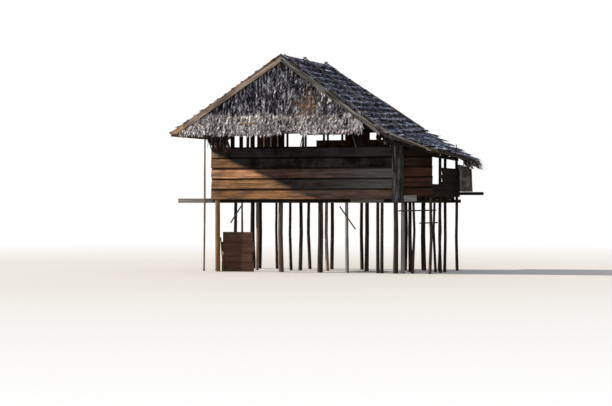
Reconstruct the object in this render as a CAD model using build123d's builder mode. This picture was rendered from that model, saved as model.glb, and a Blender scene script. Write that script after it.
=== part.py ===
"""A thatched house on stilts with a lean-to, in millimetres.

X runs along the front, Y from the front wall to the back wall, and Z up from the ground.
The origin is on the ground, at the centre of the front left corner post's foot.
"""

import os

from build123d import *

os.makedirs("parts", exist_ok=True)

# Clearance between pieces that touch
seat = 0.3

# Plan of the house
body_width = 4690
body_depth = 2700
leanto_width = 950
wall_overrun = 150
wall_thickness = 30
front_verge_reach = 600
back_verge_reach = 300

# Floor timbers
bearer_top = 1820
bearer_height = 85
bearer_width = 80
bearer_right_overrun = 60
back_bearer_overrun = 100
joist_height = 60
joist_width = 60
joist_wall_gap = 5
joist_count = 9
joist_first_x = 150
deck_thickness = 25
deck_board_width = 190
deck_board_gap = 4
deck_overhang = 10

# Lapped planks of the walls
plank_height = 263
plank_count = 5
plank_lap = 9
wall_bottom = 1825
leanto_wall_bottom = 1885
leanto_high_plank_height = 182
leanto_high_planks = 4
leanto_low_plank_height = 158
leanto_low_planks = 2
leanto_front_plank_height = 248
leanto_front_planks = 5
low_wall_length = 960
low_back_wall_width = 540
window_start = 1450

# Boards that close part of the gap over the back wall
infill_thickness = 22
infill_gap = 8
infill_top = 3600
upright_infill_start = 100
upright_infill_width = 185
upright_infill_count = 4
long_infill_start = 1760
long_infill_end_inset = 130
long_infill_height = 240
short_infill_start = 2550
short_infill_width = 680
short_infill_height = 180

# Plank over the right front corner
corner_board_lap = 125
corner_board_width = 295
corner_board_thickness = 26
corner_board_top = 3200

# Posts and stilts
post_radius = 55
post_foot_radius = 66
pole_sides = 12
stilt_flare = 5
stilt_taper = 3
leanto_post_radius = 38
stud_width = 48
stud_depth = 44
stud_corner_gap = 200
front_stud_start = 420
front_stud_pitch = 480
back_stud_start = 700
back_stud_pitch = 680
stilt_knee_share = 0.55
leanto_stilt_knee_share = 0.6

# Roof, given by the underside of its thatch
ridge_x = 1950
ridge_z = 5275
left_eave_x = -990
left_eave_z = 3400
break_inset = 40
break_front_z = 3310
break_back_z = 3510
right_eave_reach = 310
right_eave_front_z = 2930
right_eave_back_z = 2765

# Layers of the roof, measured straight down or up
thatch_thin = 55
thatch_thick = 105
course_run = 210
batten_height = 30
batten_width = 50
batten_spacing = 420
rafter_depth = 70
leanto_rafter_depth = 55
rafter_width = 60
ridge_pole_radius = 45
ridge_pole_clearance = 11
ridge_pole_front_end = 95
ridge_pole_back_end = 60
eave_overhang = 150
ridge_batten_gap = 40
break_batten_gap = 20
leanto_batten_start = 120
plate_height = 80
plate_width = 90
leanto_plate_height = 70
leanto_plate_width = 70
barge_thickness = 38
barge_drop = 62
barge_rise = 96
barge_end_inset = 160
barge_tip_reach = 20
barge_tip_height = 30
cap_reach = 190
cap_thickness = 40
holding_pole_radius = 21
holding_pole_cap_gap = 30
holding_pole_foot_inset = 25
holding_pole_end_inset = 100

# Gable frame and its thatch
tie_bottom = 3560
tie_height = 85
king_width = 70
gable_rail_lift = 20
gable_rail_height = 70
gable_thatch_thickness = 60
gable_inset = 70
skirt_flare = 120
skirt_curve = 0.3
skirt_margin = 100
skirt_top = 3930
front_skirt_hem = 3395
back_skirt_hem = 3620
skirt_end_inset = 610
hem_notch_start = 1975
hem_notch_width = 485
hem_notch_height = 95

# Doorway in the left wall and its landing
door_inset = 350
door_width = 760
landing_reach = 1110
landing_plank_count = 4
landing_plank_gap = 8
landing_wall_gap = 20
landing_overhang = 20

bearer_bottom = bearer_top - bearer_height
joist_top = bearer_top + seat + joist_height
deck_top = joist_top + seat + deck_thickness
front_post_y = 0
front_face_y = front_post_y - post_radius - seat - wall_thickness
back_face_y = front_face_y + body_depth
back_post_y = back_face_y - wall_thickness - seat - post_radius
front_bearer_y = front_post_y + post_radius + seat
back_bearer_y = back_post_y - post_radius - seat - bearer_width
middle_bearer_y = (front_face_y + back_face_y - bearer_width) / 2
front_row_y = front_bearer_y + bearer_width / 2
middle_row_y = middle_bearer_y + bearer_width / 2
back_row_y = back_bearer_y + bearer_width / 2
leanto_outer_x = body_width + leanto_width
break_x = body_width - break_inset
right_eave_x = leanto_outer_x + right_eave_reach
leanto_post_x = leanto_outer_x - wall_thickness - seat - leanto_post_radius
left_wall_inner_x = -post_radius - seat
left_wall_outer_x = left_wall_inner_x - wall_thickness
verge_front = front_face_y - front_verge_reach
verge_back = back_face_y + back_verge_reach
verge_depth = verge_back - verge_front
barge_right_end = break_x - barge_end_inset
barge_left_end = left_eave_x - barge_tip_reach
skirt_right_end = break_x - skirt_end_inset
gable_rail_top = skirt_top + gable_rail_lift


def roof_z(x, y):
    """Height of the thatch's underside over a point of the plan."""
    if x <= ridge_x:
        pitch = (ridge_z - left_eave_z) / (ridge_x - left_eave_x)
        return ridge_z - pitch * (ridge_x - x)
    share = (y - verge_front) / verge_depth
    break_z = break_front_z + (break_back_z - break_front_z) * share
    eave_z = right_eave_front_z + (right_eave_back_z - right_eave_front_z) * share
    if x <= break_x:
        return ridge_z + (break_z - ridge_z) * (x - ridge_x) / (break_x - ridge_x)
    return break_z + (eave_z - break_z) * (x - break_x) / (right_eave_x - break_x)


def rafter_underside(x, y):
    """Height of the rafters' underside over a point of the plan."""
    depth = rafter_depth if x <= break_x else leanto_rafter_depth
    return roof_z(x, y) - seat - batten_height - seat - depth


def upper_pitch(y):
    """Steepness of the upper right slope at a place along the house."""
    return (ridge_z - roof_z(break_x, y)) / (break_x - ridge_x)


def left_x_at(z, drop):
    """Where the left slope, lowered by drop, comes down to a height."""
    pitch = (ridge_z - left_eave_z) / (ridge_x - left_eave_x)
    return ridge_x - (ridge_z - drop - z) / pitch


def right_x_at(z, y, drop):
    """Where the upper right slope, lowered by drop, comes down to a height."""
    return ridge_x + (ridge_z - drop - z) / upper_pitch(y)


def between(front_y, back_y, outline):
    """A solid between two upright outlines, which follows the twist of the roof."""
    with BuildPart() as solid:
        for y in (front_y, back_y):
            with BuildSketch(Plane.XZ.offset(-y)):
                with BuildLine():
                    Polyline(*outline(y), close=True)
                make_face()
        loft(ruled=True)
    return solid.part


def block(x_range, y_range, z_range):
    """A squared timber that lies along the axes."""
    with BuildPart() as timber:
        with BuildSketch(Plane.XY.offset(z_range[0])):
            with Locations(((x_range[0] + x_range[1]) / 2, (y_range[0] + y_range[1]) / 2)):
                Rectangle(x_range[1] - x_range[0], y_range[1] - y_range[0])
        extrude(amount=z_range[1] - z_range[0])
    return timber.part


def round_pole(start, end, radius):
    """A straight round pole between two points."""
    run = Vector(*end) - Vector(*start)
    with BuildPart() as pole:
        with BuildSketch(Plane(origin=start, z_dir=run)):
            Circle(radius)
        extrude(amount=run.length)
    return pole.part


def standing_pole(stations):
    """A crooked hewn pole through level sections, each given as x, y, z and radius."""
    with BuildPart() as pole:
        for x, y, z, radius in stations:
            with BuildSketch(Plane.XY.offset(z)):
                with Locations((x, y)):
                    RegularPolygon(radius, pole_sides)
        loft(ruled=True)
    return pole.part


def lapped_outline(bottom, height, count):
    """Section of a wall of lapped planks: depth from the outer face, and height."""
    points = [(wall_thickness, bottom), (0, bottom)]
    for number in range(count):
        points.append((plank_lap, bottom + height * (number + 1)))
        if number < count - 1:
            points.append((0, bottom + height * (number + 1)))
    points.append((wall_thickness, bottom + height * count))
    return points


def wall_along_x(x_start, x_end, outer_y, inward, outline):
    """A lapped wall along the front or back; inward is 1 or -1 along Y."""
    with BuildPart() as wall:
        with BuildSketch(Plane.YZ.offset(x_start)):
            with BuildLine():
                Polyline(*[(outer_y + inward * depth, z) for depth, z in outline], close=True)
            make_face()
        extrude(amount=x_end - x_start)
    return wall.part


def wall_along_y(y_start, y_end, outer_x, inward, outline):
    """A lapped wall along a side; inward is 1 or -1 along X."""
    with BuildPart() as wall:
        with BuildSketch(Plane.XZ.offset(-y_start)):
            with BuildLine():
                Polyline(*[(outer_x + inward * depth, z) for depth, z in outline], close=True)
            make_face()
        extrude(amount=-(y_end - y_start))
    return wall.part


def course_step(x_high, x_low):
    """Run of one course of a slope, with its sign along X, and the number of courses."""
    courses = max(1, round(abs(x_low - x_high) / course_run))
    return (x_low - x_high) / courses, courses


def thatch_outline(x_high, x_low, y):
    """Section of a thatched slope from its high end to its low end, stepped by course."""
    step, courses = course_step(x_high, x_low)
    points = [(x_high, roof_z(x_high, y))]
    for number in range(courses):
        upper = x_high + step * number
        lower = x_high + step * (number + 1)
        points.append((upper, roof_z(upper, y) + thatch_thin))
        points.append((lower, roof_z(lower, y) + thatch_thick))
    points.append((x_low, roof_z(x_low, y)))
    return points


def slope_strip(x_start, x_end, lower, upper, y):
    """Section of a strip that follows a slope, between two heights from the thatch."""
    return [
        (x_start, roof_z(x_start, y) + lower),
        (x_end, roof_z(x_end, y) + lower),
        (x_end, roof_z(x_end, y) + upper),
        (x_start, roof_z(x_start, y) + upper),
    ]


def write(piece, name):
    """Label a finished piece and write its file."""
    piece.part.label = name
    export_step(piece.part, f"parts/{name}.step")


# Corner posts, from the ground to the plates
with BuildPart() as corner_posts:
    for side_x, side_y, lean_x, lean_y in (
        (0, front_post_y, 0, 0),
        (0, back_post_y, 18, -12),
        (body_width, front_post_y, -10, 8),
        (body_width, back_post_y, 14, -10),
    ):
        plate_x = side_x + (break_x - body_width if side_x else 0)
        plate_low_x = plate_x + (plate_width / 2 if side_x else -plate_width / 2)
        post_sides = (side_y - post_radius, side_y + post_radius)
        rafters_low = min(rafter_underside(plate_low_x, y) for y in post_sides)
        head_z = rafters_low - seat - plate_height - seat
        add(
            standing_pole(
                [
                    (side_x + lean_x, side_y + lean_y, 0, post_foot_radius),
                    (side_x - lean_x / 2, side_y, bearer_bottom / 2, post_foot_radius - 5),
                    (side_x, side_y, bearer_bottom, post_radius),
                    (side_x, side_y, head_z, post_radius),
                ]
            )
        )
write(corner_posts, "corner_posts")

# Stilts under the three bearers: x at the head, lean of the foot, and radius
stilt_head = bearer_bottom - seat
stilt_knee = bearer_bottom * stilt_knee_share
front_stilt_sizes = (
    (620, -8, 26),
    (1660, 14, 62),
    (2710, -12, 66),
    (3400, 6, 44),
    (body_width - 490, 5, 42),
    (body_width - 380, -4, 40),
    (body_width + 150, 0, 48),
)
middle_stilt_sizes = (
    (0, 20, 44),
    (600, -15, 40),
    (1500, 22, 36),
    (1790, -18, 46),
    (2480, 25, 42),
    (3560, -10, 52),
    (body_width, 12, 46),
)
back_stilt_sizes = (
    (240, -15, 50),
    (700, 14, 34),
    (1600, 30, 42),
    (2250, -12, 46),
    (3050, 16, 44),
    (body_width - 440, -20, 42),
)
rows = {
    "front_stilts": (front_row_y, front_stilt_sizes),
    "middle_stilts": (middle_row_y, middle_stilt_sizes),
    "back_stilts": (back_row_y, back_stilt_sizes),
}
for row_name, (row_y, row_stilts) in rows.items():
    with BuildPart() as stilt_row:
        for head_x, foot_lean, radius in row_stilts:
            add(
                standing_pole(
                    [
                        (head_x + foot_lean, row_y, 0, radius + stilt_flare),
                        (head_x - foot_lean / 2, row_y + foot_lean / 3, stilt_knee, radius),
                        (head_x, row_y, stilt_head, radius - stilt_taper),
                    ]
                )
            )
    write(stilt_row, row_name)

# Bearers along the house, of which two carry the landing on the left
bearer_right = leanto_outer_x + bearer_right_overrun
with BuildPart() as floor_bearers:
    for bearer_left, bearer_y in (
        (-landing_reach, front_bearer_y),
        (-landing_reach, middle_bearer_y),
        (-back_bearer_overrun, back_bearer_y),
    ):
        add(
            block(
                (bearer_left, bearer_right),
                (bearer_y, bearer_y + bearer_width),
                (bearer_bottom, bearer_top),
            )
        )
write(floor_bearers, "floor_bearers")

# Joists across the bearers, under the body and the lean-to
joist_start = front_face_y + wall_thickness + joist_wall_gap
joist_end = back_face_y - wall_thickness - joist_wall_gap
joist_pitch = (body_width - 2 * joist_first_x) / (joist_count - 1)
joist_xs = [joist_first_x + joist_pitch * number for number in range(joist_count)]
leanto_last_joist_x = leanto_post_x - leanto_post_radius - joist_width
joist_xs += [body_width + leanto_width / 3, body_width + leanto_width * 2 / 3, leanto_last_joist_x]
with BuildPart() as floor_joists:
    for joist_x in joist_xs:
        add(
            block(
                (joist_x - joist_width / 2, joist_x + joist_width / 2),
                (joist_start, joist_end),
                (bearer_top + seat, joist_top),
            )
        )
write(floor_joists, "floor_joists")

# Deck boards along the house, cut short between the posts at the front and back
deck_split_x = body_width + post_radius + deck_overhang
deck_start_y = front_post_y + post_radius + seat
deck_end_y = back_post_y - post_radius - seat
deck_rows = int((deck_end_y - deck_start_y) // (deck_board_width + deck_board_gap))
deck_pitch = (deck_end_y - deck_start_y + deck_board_gap) / deck_rows
with BuildPart() as floor_deck:
    for number in range(deck_rows):
        board_y = deck_start_y + deck_pitch * number
        add(
            block(
                (left_wall_inner_x + seat, deck_split_x),
                (board_y, board_y + deck_pitch - deck_board_gap),
                (joist_top + seat, deck_top),
            )
        )
    for strip in ((joist_start, deck_start_y - deck_board_gap), (deck_end_y + deck_board_gap, joist_end)):
        add(
            block(
                (post_radius + seat, body_width - post_radius - seat),
                strip,
                (joist_top + seat, deck_top),
            )
        )
write(floor_deck, "floor_deck")

leanto_deck_end = leanto_post_x - leanto_post_radius - seat
with BuildPart() as leanto_deck:
    for number in range(deck_rows):
        board_y = deck_start_y + deck_pitch * number
        add(
            block(
                (deck_split_x + deck_board_gap, leanto_deck_end),
                (board_y, board_y + deck_pitch - deck_board_gap),
                (joist_top + seat, deck_top),
            )
        )
write(leanto_deck, "leanto_deck")

# Landing planks by the doorway
landing_span = landing_reach + left_wall_outer_x - landing_wall_gap
landing_pitch = landing_span / landing_plank_count
with BuildPart() as landing_planks:
    for number in range(landing_plank_count):
        plank_x = -landing_reach + landing_pitch * number
        add(
            block(
                (plank_x, plank_x + landing_pitch - landing_plank_gap),
                (front_bearer_y, middle_bearer_y + bearer_width + landing_overhang),
                (bearer_top + seat, bearer_top + seat + deck_thickness),
            )
        )
write(landing_planks, "landing_planks")

# Walls of lapped planks
body_wall = lapped_outline(wall_bottom, plank_height, plank_count)
corner_x = body_width + post_radius
with BuildPart() as front_wall:
    add(wall_along_x(-wall_overrun, corner_x, front_face_y, 1, body_wall))
write(front_wall, "front_wall")

with BuildPart() as back_wall:
    add(wall_along_x(-wall_overrun, corner_x, back_face_y, -1, body_wall))
write(back_wall, "back_wall")

# Boards over the back wall, upright near the left end and lying flat to the right
infill_bottom = wall_bottom + plank_height * plank_count + seat
infill_y = (back_face_y - wall_thickness, back_face_y - wall_thickness + infill_thickness)
long_infill_top = infill_bottom + long_infill_height
with BuildPart() as back_infill:
    for number in range(upright_infill_count):
        board_x = upright_infill_start + (upright_infill_width + infill_gap) * number
        add(block((board_x, board_x + upright_infill_width), infill_y, (infill_bottom, infill_top)))
    add(
        block(
            (long_infill_start, body_width - long_infill_end_inset),
            infill_y,
            (infill_bottom, long_infill_top),
        )
    )
    add(
        block(
            (short_infill_start, short_infill_start + short_infill_width),
            infill_y,
            (long_infill_top + seat, long_infill_top + seat + short_infill_height),
        )
    )
write(back_infill, "back_infill")

side_start = front_face_y + wall_thickness + seat
side_end = back_face_y - wall_thickness - seat
door_start = front_face_y + door_inset
door_end = door_start + door_width
low_wall_end = front_face_y + low_wall_length
with BuildPart() as left_wall:
    add(wall_along_y(side_start, door_start, left_wall_outer_x, 1, body_wall))
    add(wall_along_y(door_end, side_end, left_wall_outer_x, 1, body_wall))
write(left_wall, "left_wall")

# Walls of the lean-to: the front one goes up to the battens, and the others have a low part
leanto_high_wall = lapped_outline(leanto_wall_bottom, leanto_high_plank_height, leanto_high_planks)
leanto_low_wall = lapped_outline(leanto_wall_bottom, leanto_low_plank_height, leanto_low_planks)
leanto_front_outline = lapped_outline(leanto_wall_bottom, leanto_front_plank_height, leanto_front_planks)


def under_leanto_battens(y):
    """Outline of the space under the lean-to's battens."""
    drop = 2 * seat + batten_height
    return [
        (corner_x, leanto_wall_bottom),
        (leanto_outer_x, leanto_wall_bottom),
        (leanto_outer_x, roof_z(leanto_outer_x, y) - drop),
        (corner_x, roof_z(corner_x, y) - drop),
    ]


with BuildPart() as leanto_front_wall:
    add(wall_along_x(corner_x + seat, leanto_outer_x, front_face_y, 1, leanto_front_outline))
    add(between(front_face_y, front_face_y + wall_thickness, under_leanto_battens), mode=Mode.INTERSECT)
write(leanto_front_wall, "leanto_front_wall")

low_back_wall_end = body_width + low_back_wall_width
with BuildPart() as leanto_back_wall:
    add(wall_along_x(corner_x + seat, low_back_wall_end, back_face_y, -1, leanto_low_wall))
    add(wall_along_x(low_back_wall_end + 2 * seat, leanto_outer_x, back_face_y, -1, leanto_high_wall))
write(leanto_back_wall, "leanto_back_wall")

with BuildPart() as leanto_side_wall:
    add(wall_along_y(side_start, low_wall_end, leanto_outer_x, -1, leanto_low_wall))
    add(wall_along_y(low_wall_end + 2 * seat, side_end, leanto_outer_x, -1, leanto_high_wall))
write(leanto_side_wall, "leanto_side_wall")

# Wide plank that covers the meeting of the walls at the right corner
corner_board_left = corner_x - corner_board_lap
with BuildPart() as corner_board:
    add(
        block(
            (corner_board_left, corner_board_left + corner_board_width),
            (front_face_y - seat - corner_board_thickness, front_face_y - seat),
            (bearer_bottom, corner_board_top),
        )
    )
write(corner_board, "corner_board")

# Posts of the lean-to, from the ground to its plate
leanto_plate_left = leanto_post_x - leanto_plate_width / 2
leanto_plate_right = leanto_post_x + leanto_plate_width / 2


def leanto_plate_low(y):
    """Height of the underside of the lean-to's plate."""
    return rafter_underside(leanto_plate_right, y) - seat - leanto_plate_height


leanto_post_rows = (
    (front_post_y, -14),
    (low_wall_end, 10),
    (front_face_y + window_start, -8),
    (back_post_y, 12),
)
with BuildPart() as leanto_posts:
    for post_y, lean in leanto_post_rows:
        head_z = leanto_plate_low(post_y) - seat - 2
        add(
            standing_pole(
                [
                    (leanto_post_x + lean, post_y + lean, 0, leanto_post_radius + 4),
                    (leanto_post_x - lean, post_y, bearer_bottom / 2, leanto_post_radius),
                    (leanto_post_x, post_y, bearer_bottom, leanto_post_radius),
                    (leanto_post_x, post_y, head_z, leanto_post_radius),
                ]
            )
        )
write(leanto_posts, "leanto_posts")

leanto_stilt_radius = 32
leanto_stilt_knee = bearer_bottom * leanto_stilt_knee_share
with BuildPart() as leanto_stilts:
    for head_x, row_y, foot_lean in (
        (body_width + 420, front_row_y, -22),
        (body_width + 640, middle_row_y, 25),
        (body_width + 460, back_row_y, -18),
    ):
        add(
            standing_pole(
                [
                    (head_x + foot_lean, row_y, 0, leanto_stilt_radius + 5),
                    (head_x - foot_lean, row_y, leanto_stilt_knee, leanto_stilt_radius),
                    (head_x, row_y, stilt_head, leanto_stilt_radius),
                ]
            )
        )
write(leanto_stilts, "leanto_stilts")

# Plates that carry the rafters along the sides


def plate(low_x, x_start, width, height):
    """A level-topped plate along a side, whose top meets the rafters at low_x."""
    def outline(y):
        top = rafter_underside(low_x, y) - seat
        x_end = x_start + width
        return [(x_start, top - height), (x_end, top - height), (x_end, top), (x_start, top)]
    return between(side_start, side_end, outline)


left_plate_x = -plate_width / 2
right_plate_x = break_x - plate_width / 2
with BuildPart() as side_plates:
    add(plate(left_plate_x, left_plate_x, plate_width, plate_height))
    add(plate(right_plate_x + plate_width, right_plate_x, plate_width, plate_height))
write(side_plates, "side_plates")

with BuildPart() as leanto_plate:
    add(plate(leanto_plate_right, leanto_plate_left, leanto_plate_width, leanto_plate_height))
write(leanto_plate, "leanto_plate")

# Tie beams and king posts of the front and back frames
frame_offset = 40
front_frame = (front_face_y + frame_offset, front_face_y + frame_offset + rafter_width)
back_frame = (back_face_y - frame_offset - rafter_width, back_face_y - frame_offset)
tie_top = tie_bottom + tie_height
roof_drop = seat + batten_height + seat + rafter_depth + seat
ridge_pole_z = ridge_z - roof_drop - ridge_pole_radius - ridge_pole_clearance
with BuildPart() as tie_beams:
    for start_y, end_y in (front_frame, back_frame):
        tie_right = min(right_x_at(tie_top, start_y, roof_drop), right_x_at(tie_top, end_y, roof_drop))
        add(block((post_radius + seat, tie_right), (start_y, end_y), (tie_bottom, tie_top)))
write(tie_beams, "tie_beams")

with BuildPart() as king_posts:
    for start_y, end_y in (front_frame, back_frame):
        add(
            block(
                (ridge_x - king_width / 2, ridge_x + king_width / 2),
                (start_y, end_y),
                (tie_top + seat, ridge_pole_z - ridge_pole_radius - seat),
            )
        )
write(king_posts, "king_posts")

# Ridge pole, which sticks out a little at both ends
ridge_pole_front = verge_front - ridge_pole_front_end
ridge_pole_back = verge_back + ridge_pole_back_end
with BuildPart() as ridge_pole:
    add(
        round_pole(
            (ridge_x, ridge_pole_front, ridge_pole_z),
            (ridge_x, ridge_pole_back, ridge_pole_z),
            ridge_pole_radius,
        )
    )
write(ridge_pole, "ridge_pole")

# Rafters: a pair over each frame, two between, and one by each verge
verge_rafter_inset = gable_inset + gable_thatch_thickness + seat
rafter_starts = (
    verge_front + verge_rafter_inset,
    front_frame[0],
    front_face_y + body_depth / 3,
    front_face_y + body_depth * 2 / 3,
    back_frame[0],
    verge_back - verge_rafter_inset - rafter_width,
)
rafter_top = -seat - batten_height - seat


def strip_between(x_start, x_end, lower, upper):
    """Outline of a strip of a slope, as a function of y."""
    return lambda y: slope_strip(x_start, x_end, lower, upper, y)


def rafters(x_start, x_end, depth):
    """The rafters of one slope."""
    with BuildPart() as slope:
        for start_y in rafter_starts:
            add(
                between(
                    start_y,
                    start_y + rafter_width,
                    strip_between(x_start, x_end, rafter_top - depth, rafter_top),
                )
            )
    return slope.part


with BuildPart() as left_rafters:
    add(rafters(left_eave_x + eave_overhang, ridge_x - seat / 2, rafter_depth))
write(left_rafters, "left_rafters")

with BuildPart() as right_rafters:
    add(rafters(ridge_x + seat / 2, break_x - seat / 2, rafter_depth))
write(right_rafters, "right_rafters")

with BuildPart() as leanto_rafters:
    add(rafters(break_x + seat / 2, right_eave_x - eave_overhang, leanto_rafter_depth))
write(leanto_rafters, "leanto_rafters")


def batten_positions(x_start, x_end):
    """Places of the battens of a slope, evenly spaced between its two edges."""
    count = max(2, round((x_end - x_start) / batten_spacing) + 1)
    pitch = (x_end - x_start) / (count - 1)
    return [x_start + pitch * number for number in range(count)]


def battens(x_start, x_end):
    """Battens from verge to verge, each batten_width wide."""
    with BuildPart() as slope:
        for x in batten_positions(x_start, x_end - batten_width):
            outline = strip_between(x, x + batten_width, -seat - batten_height, -seat)
            add(between(verge_front, verge_back, outline))
    return slope.part


with BuildPart() as left_battens:
    add(battens(left_eave_x + eave_overhang, ridge_x - ridge_batten_gap))
write(left_battens, "left_battens")

with BuildPart() as right_battens:
    add(battens(ridge_x + ridge_batten_gap, break_x - break_batten_gap))
write(right_battens, "right_battens")

with BuildPart() as leanto_battens:
    add(battens(break_x + leanto_batten_start, right_eave_x - eave_overhang))
write(leanto_battens, "leanto_battens")

# Thatch of the three slopes, stepped where each course overlaps the one below


def thatch(x_high, x_low):
    """The thatch of one slope, from its high end to its low end."""
    return between(verge_front, verge_back, lambda y: thatch_outline(x_high, x_low, y))


with BuildPart() as left_thatch:
    add(thatch(ridge_x - seat / 2, left_eave_x))
write(left_thatch, "left_thatch")

with BuildPart() as right_thatch:
    add(thatch(ridge_x + seat / 2, break_x - seat / 2))
write(right_thatch, "right_thatch")

with BuildPart() as leanto_thatch:
    add(thatch(break_x + seat / 2, right_eave_x))
write(leanto_thatch, "leanto_thatch")

# Ridge cap of folded leaf over the top course of both slopes


def cap_outline(y):
    """Section of the ridge cap, an upturned V that lies on both slopes."""
    under = []
    for x_low, sign in ((left_eave_x, -1), (break_x, 1)):
        step, _ = course_step(ridge_x, x_low)
        rise = thatch_thin + (thatch_thick - thatch_thin) * cap_reach / abs(step)
        edge = ridge_x + sign * cap_reach
        under.append((edge, roof_z(edge, y) + rise + seat))
    under.insert(1, (ridge_x, ridge_z + thatch_thin + seat))
    return under + [(x, z + cap_thickness) for x, z in reversed(under)]


with BuildPart() as ridge_cap:
    add(between(verge_front, verge_back, cap_outline))
write(ridge_cap, "ridge_cap")

# Barge boards over the thatch's ends
barge_gap = seat
front_barge = (verge_front - barge_gap - barge_thickness, verge_front - barge_gap)
back_barge = (verge_back + barge_gap, verge_back + barge_gap + barge_thickness)


def left_barge_outline(y):
    """Outline of a left barge board, whose low end is cut level."""
    strip = slope_strip(barge_left_end, ridge_x - seat / 2, -barge_drop, barge_rise, y)
    cut_z = roof_z(barge_left_end, y) + barge_rise - barge_tip_height
    return [(left_x_at(cut_z, barge_drop), cut_z)] + strip[1:] + [(barge_left_end, cut_z)]


with BuildPart() as left_barge_boards:
    for start_y, end_y in (front_barge, back_barge):
        add(between(start_y, end_y, left_barge_outline))
write(left_barge_boards, "left_barge_boards")

right_barge_outline = strip_between(ridge_x + seat / 2, barge_right_end, -barge_drop, barge_rise)
with BuildPart() as right_barge_boards:
    for start_y, end_y in (front_barge, back_barge):
        add(between(start_y, end_y, right_barge_outline))
write(right_barge_boards, "right_barge_boards")

# Gable rails between the verge rafters
with BuildPart() as gable_rails:
    for start_y in (rafter_starts[0], rafter_starts[-1]):
        end_y = start_y + rafter_width
        rail_left = left_x_at(gable_rail_top, roof_drop)
        rail_right = min(right_x_at(gable_rail_top, y, roof_drop) for y in (start_y, end_y))
        add(
            block(
                (rail_left, rail_right),
                (start_y, end_y),
                (gable_rail_top - gable_rail_height, gable_rail_top),
            )
        )
write(gable_rails, "gable_rails")

# Thatch of the gables: an upper triangle, and a skirt that flares below it
gable_drop = 2 * seat + batten_height


def gable_outline(y):
    """The upper gable, between the battens and the top of the skirt."""
    foot_z = skirt_top + seat
    return [
        (left_x_at(foot_z, gable_drop), foot_z),
        (right_x_at(foot_z, y, gable_drop), foot_z),
        (ridge_x, ridge_z - gable_drop),
    ]


front_gable = (verge_front + gable_inset, verge_front + gable_inset + gable_thatch_thickness)
back_gable = (verge_back - gable_inset - gable_thatch_thickness, verge_back - gable_inset)
with BuildPart() as gable_thatch:
    for start_y, end_y in (front_gable, back_gable):
        add(between(start_y, end_y, gable_outline))
    with BuildSketch(Plane.XZ.offset(-verge_front)):
        with Locations((ridge_x, ridge_pole_z)):
            Circle(ridge_pole_radius + seat)
    extrude(amount=-verge_depth, mode=Mode.SUBTRACT)
write(gable_thatch, "gable_thatch")


def skirt(outer_y, outward, hem):
    """One gable's skirt down to its hem: its outline on the gable, cut by its flared section."""
    drop = barge_drop + seat
    skirt_reach = skirt_flare + gable_thatch_thickness + skirt_margin
    with BuildPart() as hanging:
        with BuildSketch(Plane.XZ.offset(-(outer_y + outward * skirt_reach))):
            with BuildLine():
                Polyline(
                    (left_x_at(hem, drop), hem),
                    (right_x_at(hem, outer_y, drop), hem),
                    (ridge_x, ridge_z - drop),
                    close=True,
                )
            make_face()
            with Locations(((left_eave_x + skirt_right_end) / 2, (hem + skirt_top) / 2)):
                Rectangle(skirt_right_end - left_eave_x, skirt_top - hem, mode=Mode.INTERSECT)
        extrude(amount=outward * 2 * skirt_reach)
        with BuildSketch(Plane.YZ.offset(left_eave_x)):
            with BuildLine():
                inner_top = (outer_y - outward * gable_thatch_thickness, skirt_top)
                outer_top = (outer_y, skirt_top)
                outer_mid = (outer_y + outward * skirt_flare * skirt_curve, (skirt_top + hem) / 2)
                outer_hem = (outer_y + outward * skirt_flare, hem)
                inner_hem = (outer_hem[0] - outward * gable_thatch_thickness, hem)
                inner_mid = (outer_mid[0] - outward * gable_thatch_thickness, outer_mid[1])
                ThreePointArc(outer_top, outer_mid, outer_hem)
                Line(outer_hem, inner_hem)
                ThreePointArc(inner_hem, inner_mid, inner_top)
                Line(inner_top, outer_top)
            make_face()
        extrude(amount=right_eave_x - left_eave_x, mode=Mode.INTERSECT)
    return hanging.part


with BuildPart() as gable_skirts:
    add(skirt(front_gable[0], -1, front_skirt_hem))
    add(
        block(
            (hem_notch_start, hem_notch_start + hem_notch_width),
            (front_gable[0] - skirt_flare - skirt_margin, front_gable[1]),
            (front_skirt_hem - skirt_margin, front_skirt_hem + hem_notch_height),
        ),
        mode=Mode.SUBTRACT,
    )
    add(skirt(back_gable[1], 1, back_skirt_hem))
write(gable_skirts, "gable_skirts")

# Poles laid on the right slope to hold the thatch down
holding_pole_first_y = verge_front + holding_pole_end_inset
holding_pole_last_y = verge_back - holding_pole_end_inset
holding_pole_middle_y = verge_front + verge_depth / 2
head_x = ridge_x + cap_reach + holding_pole_cap_gap
foot_x = break_x - holding_pole_foot_inset
with BuildPart() as holding_poles:
    for pole_y in (holding_pole_first_y, holding_pole_middle_y, holding_pole_last_y):
        pole_lift = thatch_thick + (holding_pole_radius + seat) * (1 + upper_pitch(pole_y) ** 2) ** 0.5
        add(
            round_pole(
                (head_x, pole_y, roof_z(head_x, pole_y) + pole_lift),
                (foot_x, pole_y, roof_z(foot_x, pole_y) + pole_lift),
                holding_pole_radius,
            )
        )
write(holding_poles, "holding_poles")

# Studs inside the walls, up to the ties and plates
stud_foot = deck_top + seat
front_stud_y = (side_start, side_start + stud_depth)
back_stud_y = (side_end - stud_depth, side_end)


def gable_stud(x, y_range):
    """A stud of a gable wall, up to the tie beam or the rafter over it."""
    under_roof = min(rafter_underside(x + stud_width, y) for y in y_range) - seat
    return block((x, x + stud_width), y_range, (stud_foot, min(tie_bottom - seat, under_roof)))


def stud_positions(first_x, pitch):
    """Evenly spaced studs from the first one to the right corner post."""
    last_x = body_width - post_radius - stud_width - stud_corner_gap
    count = int((last_x - first_x) // pitch) + 1
    return [first_x + pitch * number for number in range(count)]


with BuildPart() as front_studs:
    for stud_x in stud_positions(front_stud_start, front_stud_pitch):
        add(gable_stud(stud_x, front_stud_y))
write(front_studs, "front_studs")

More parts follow.
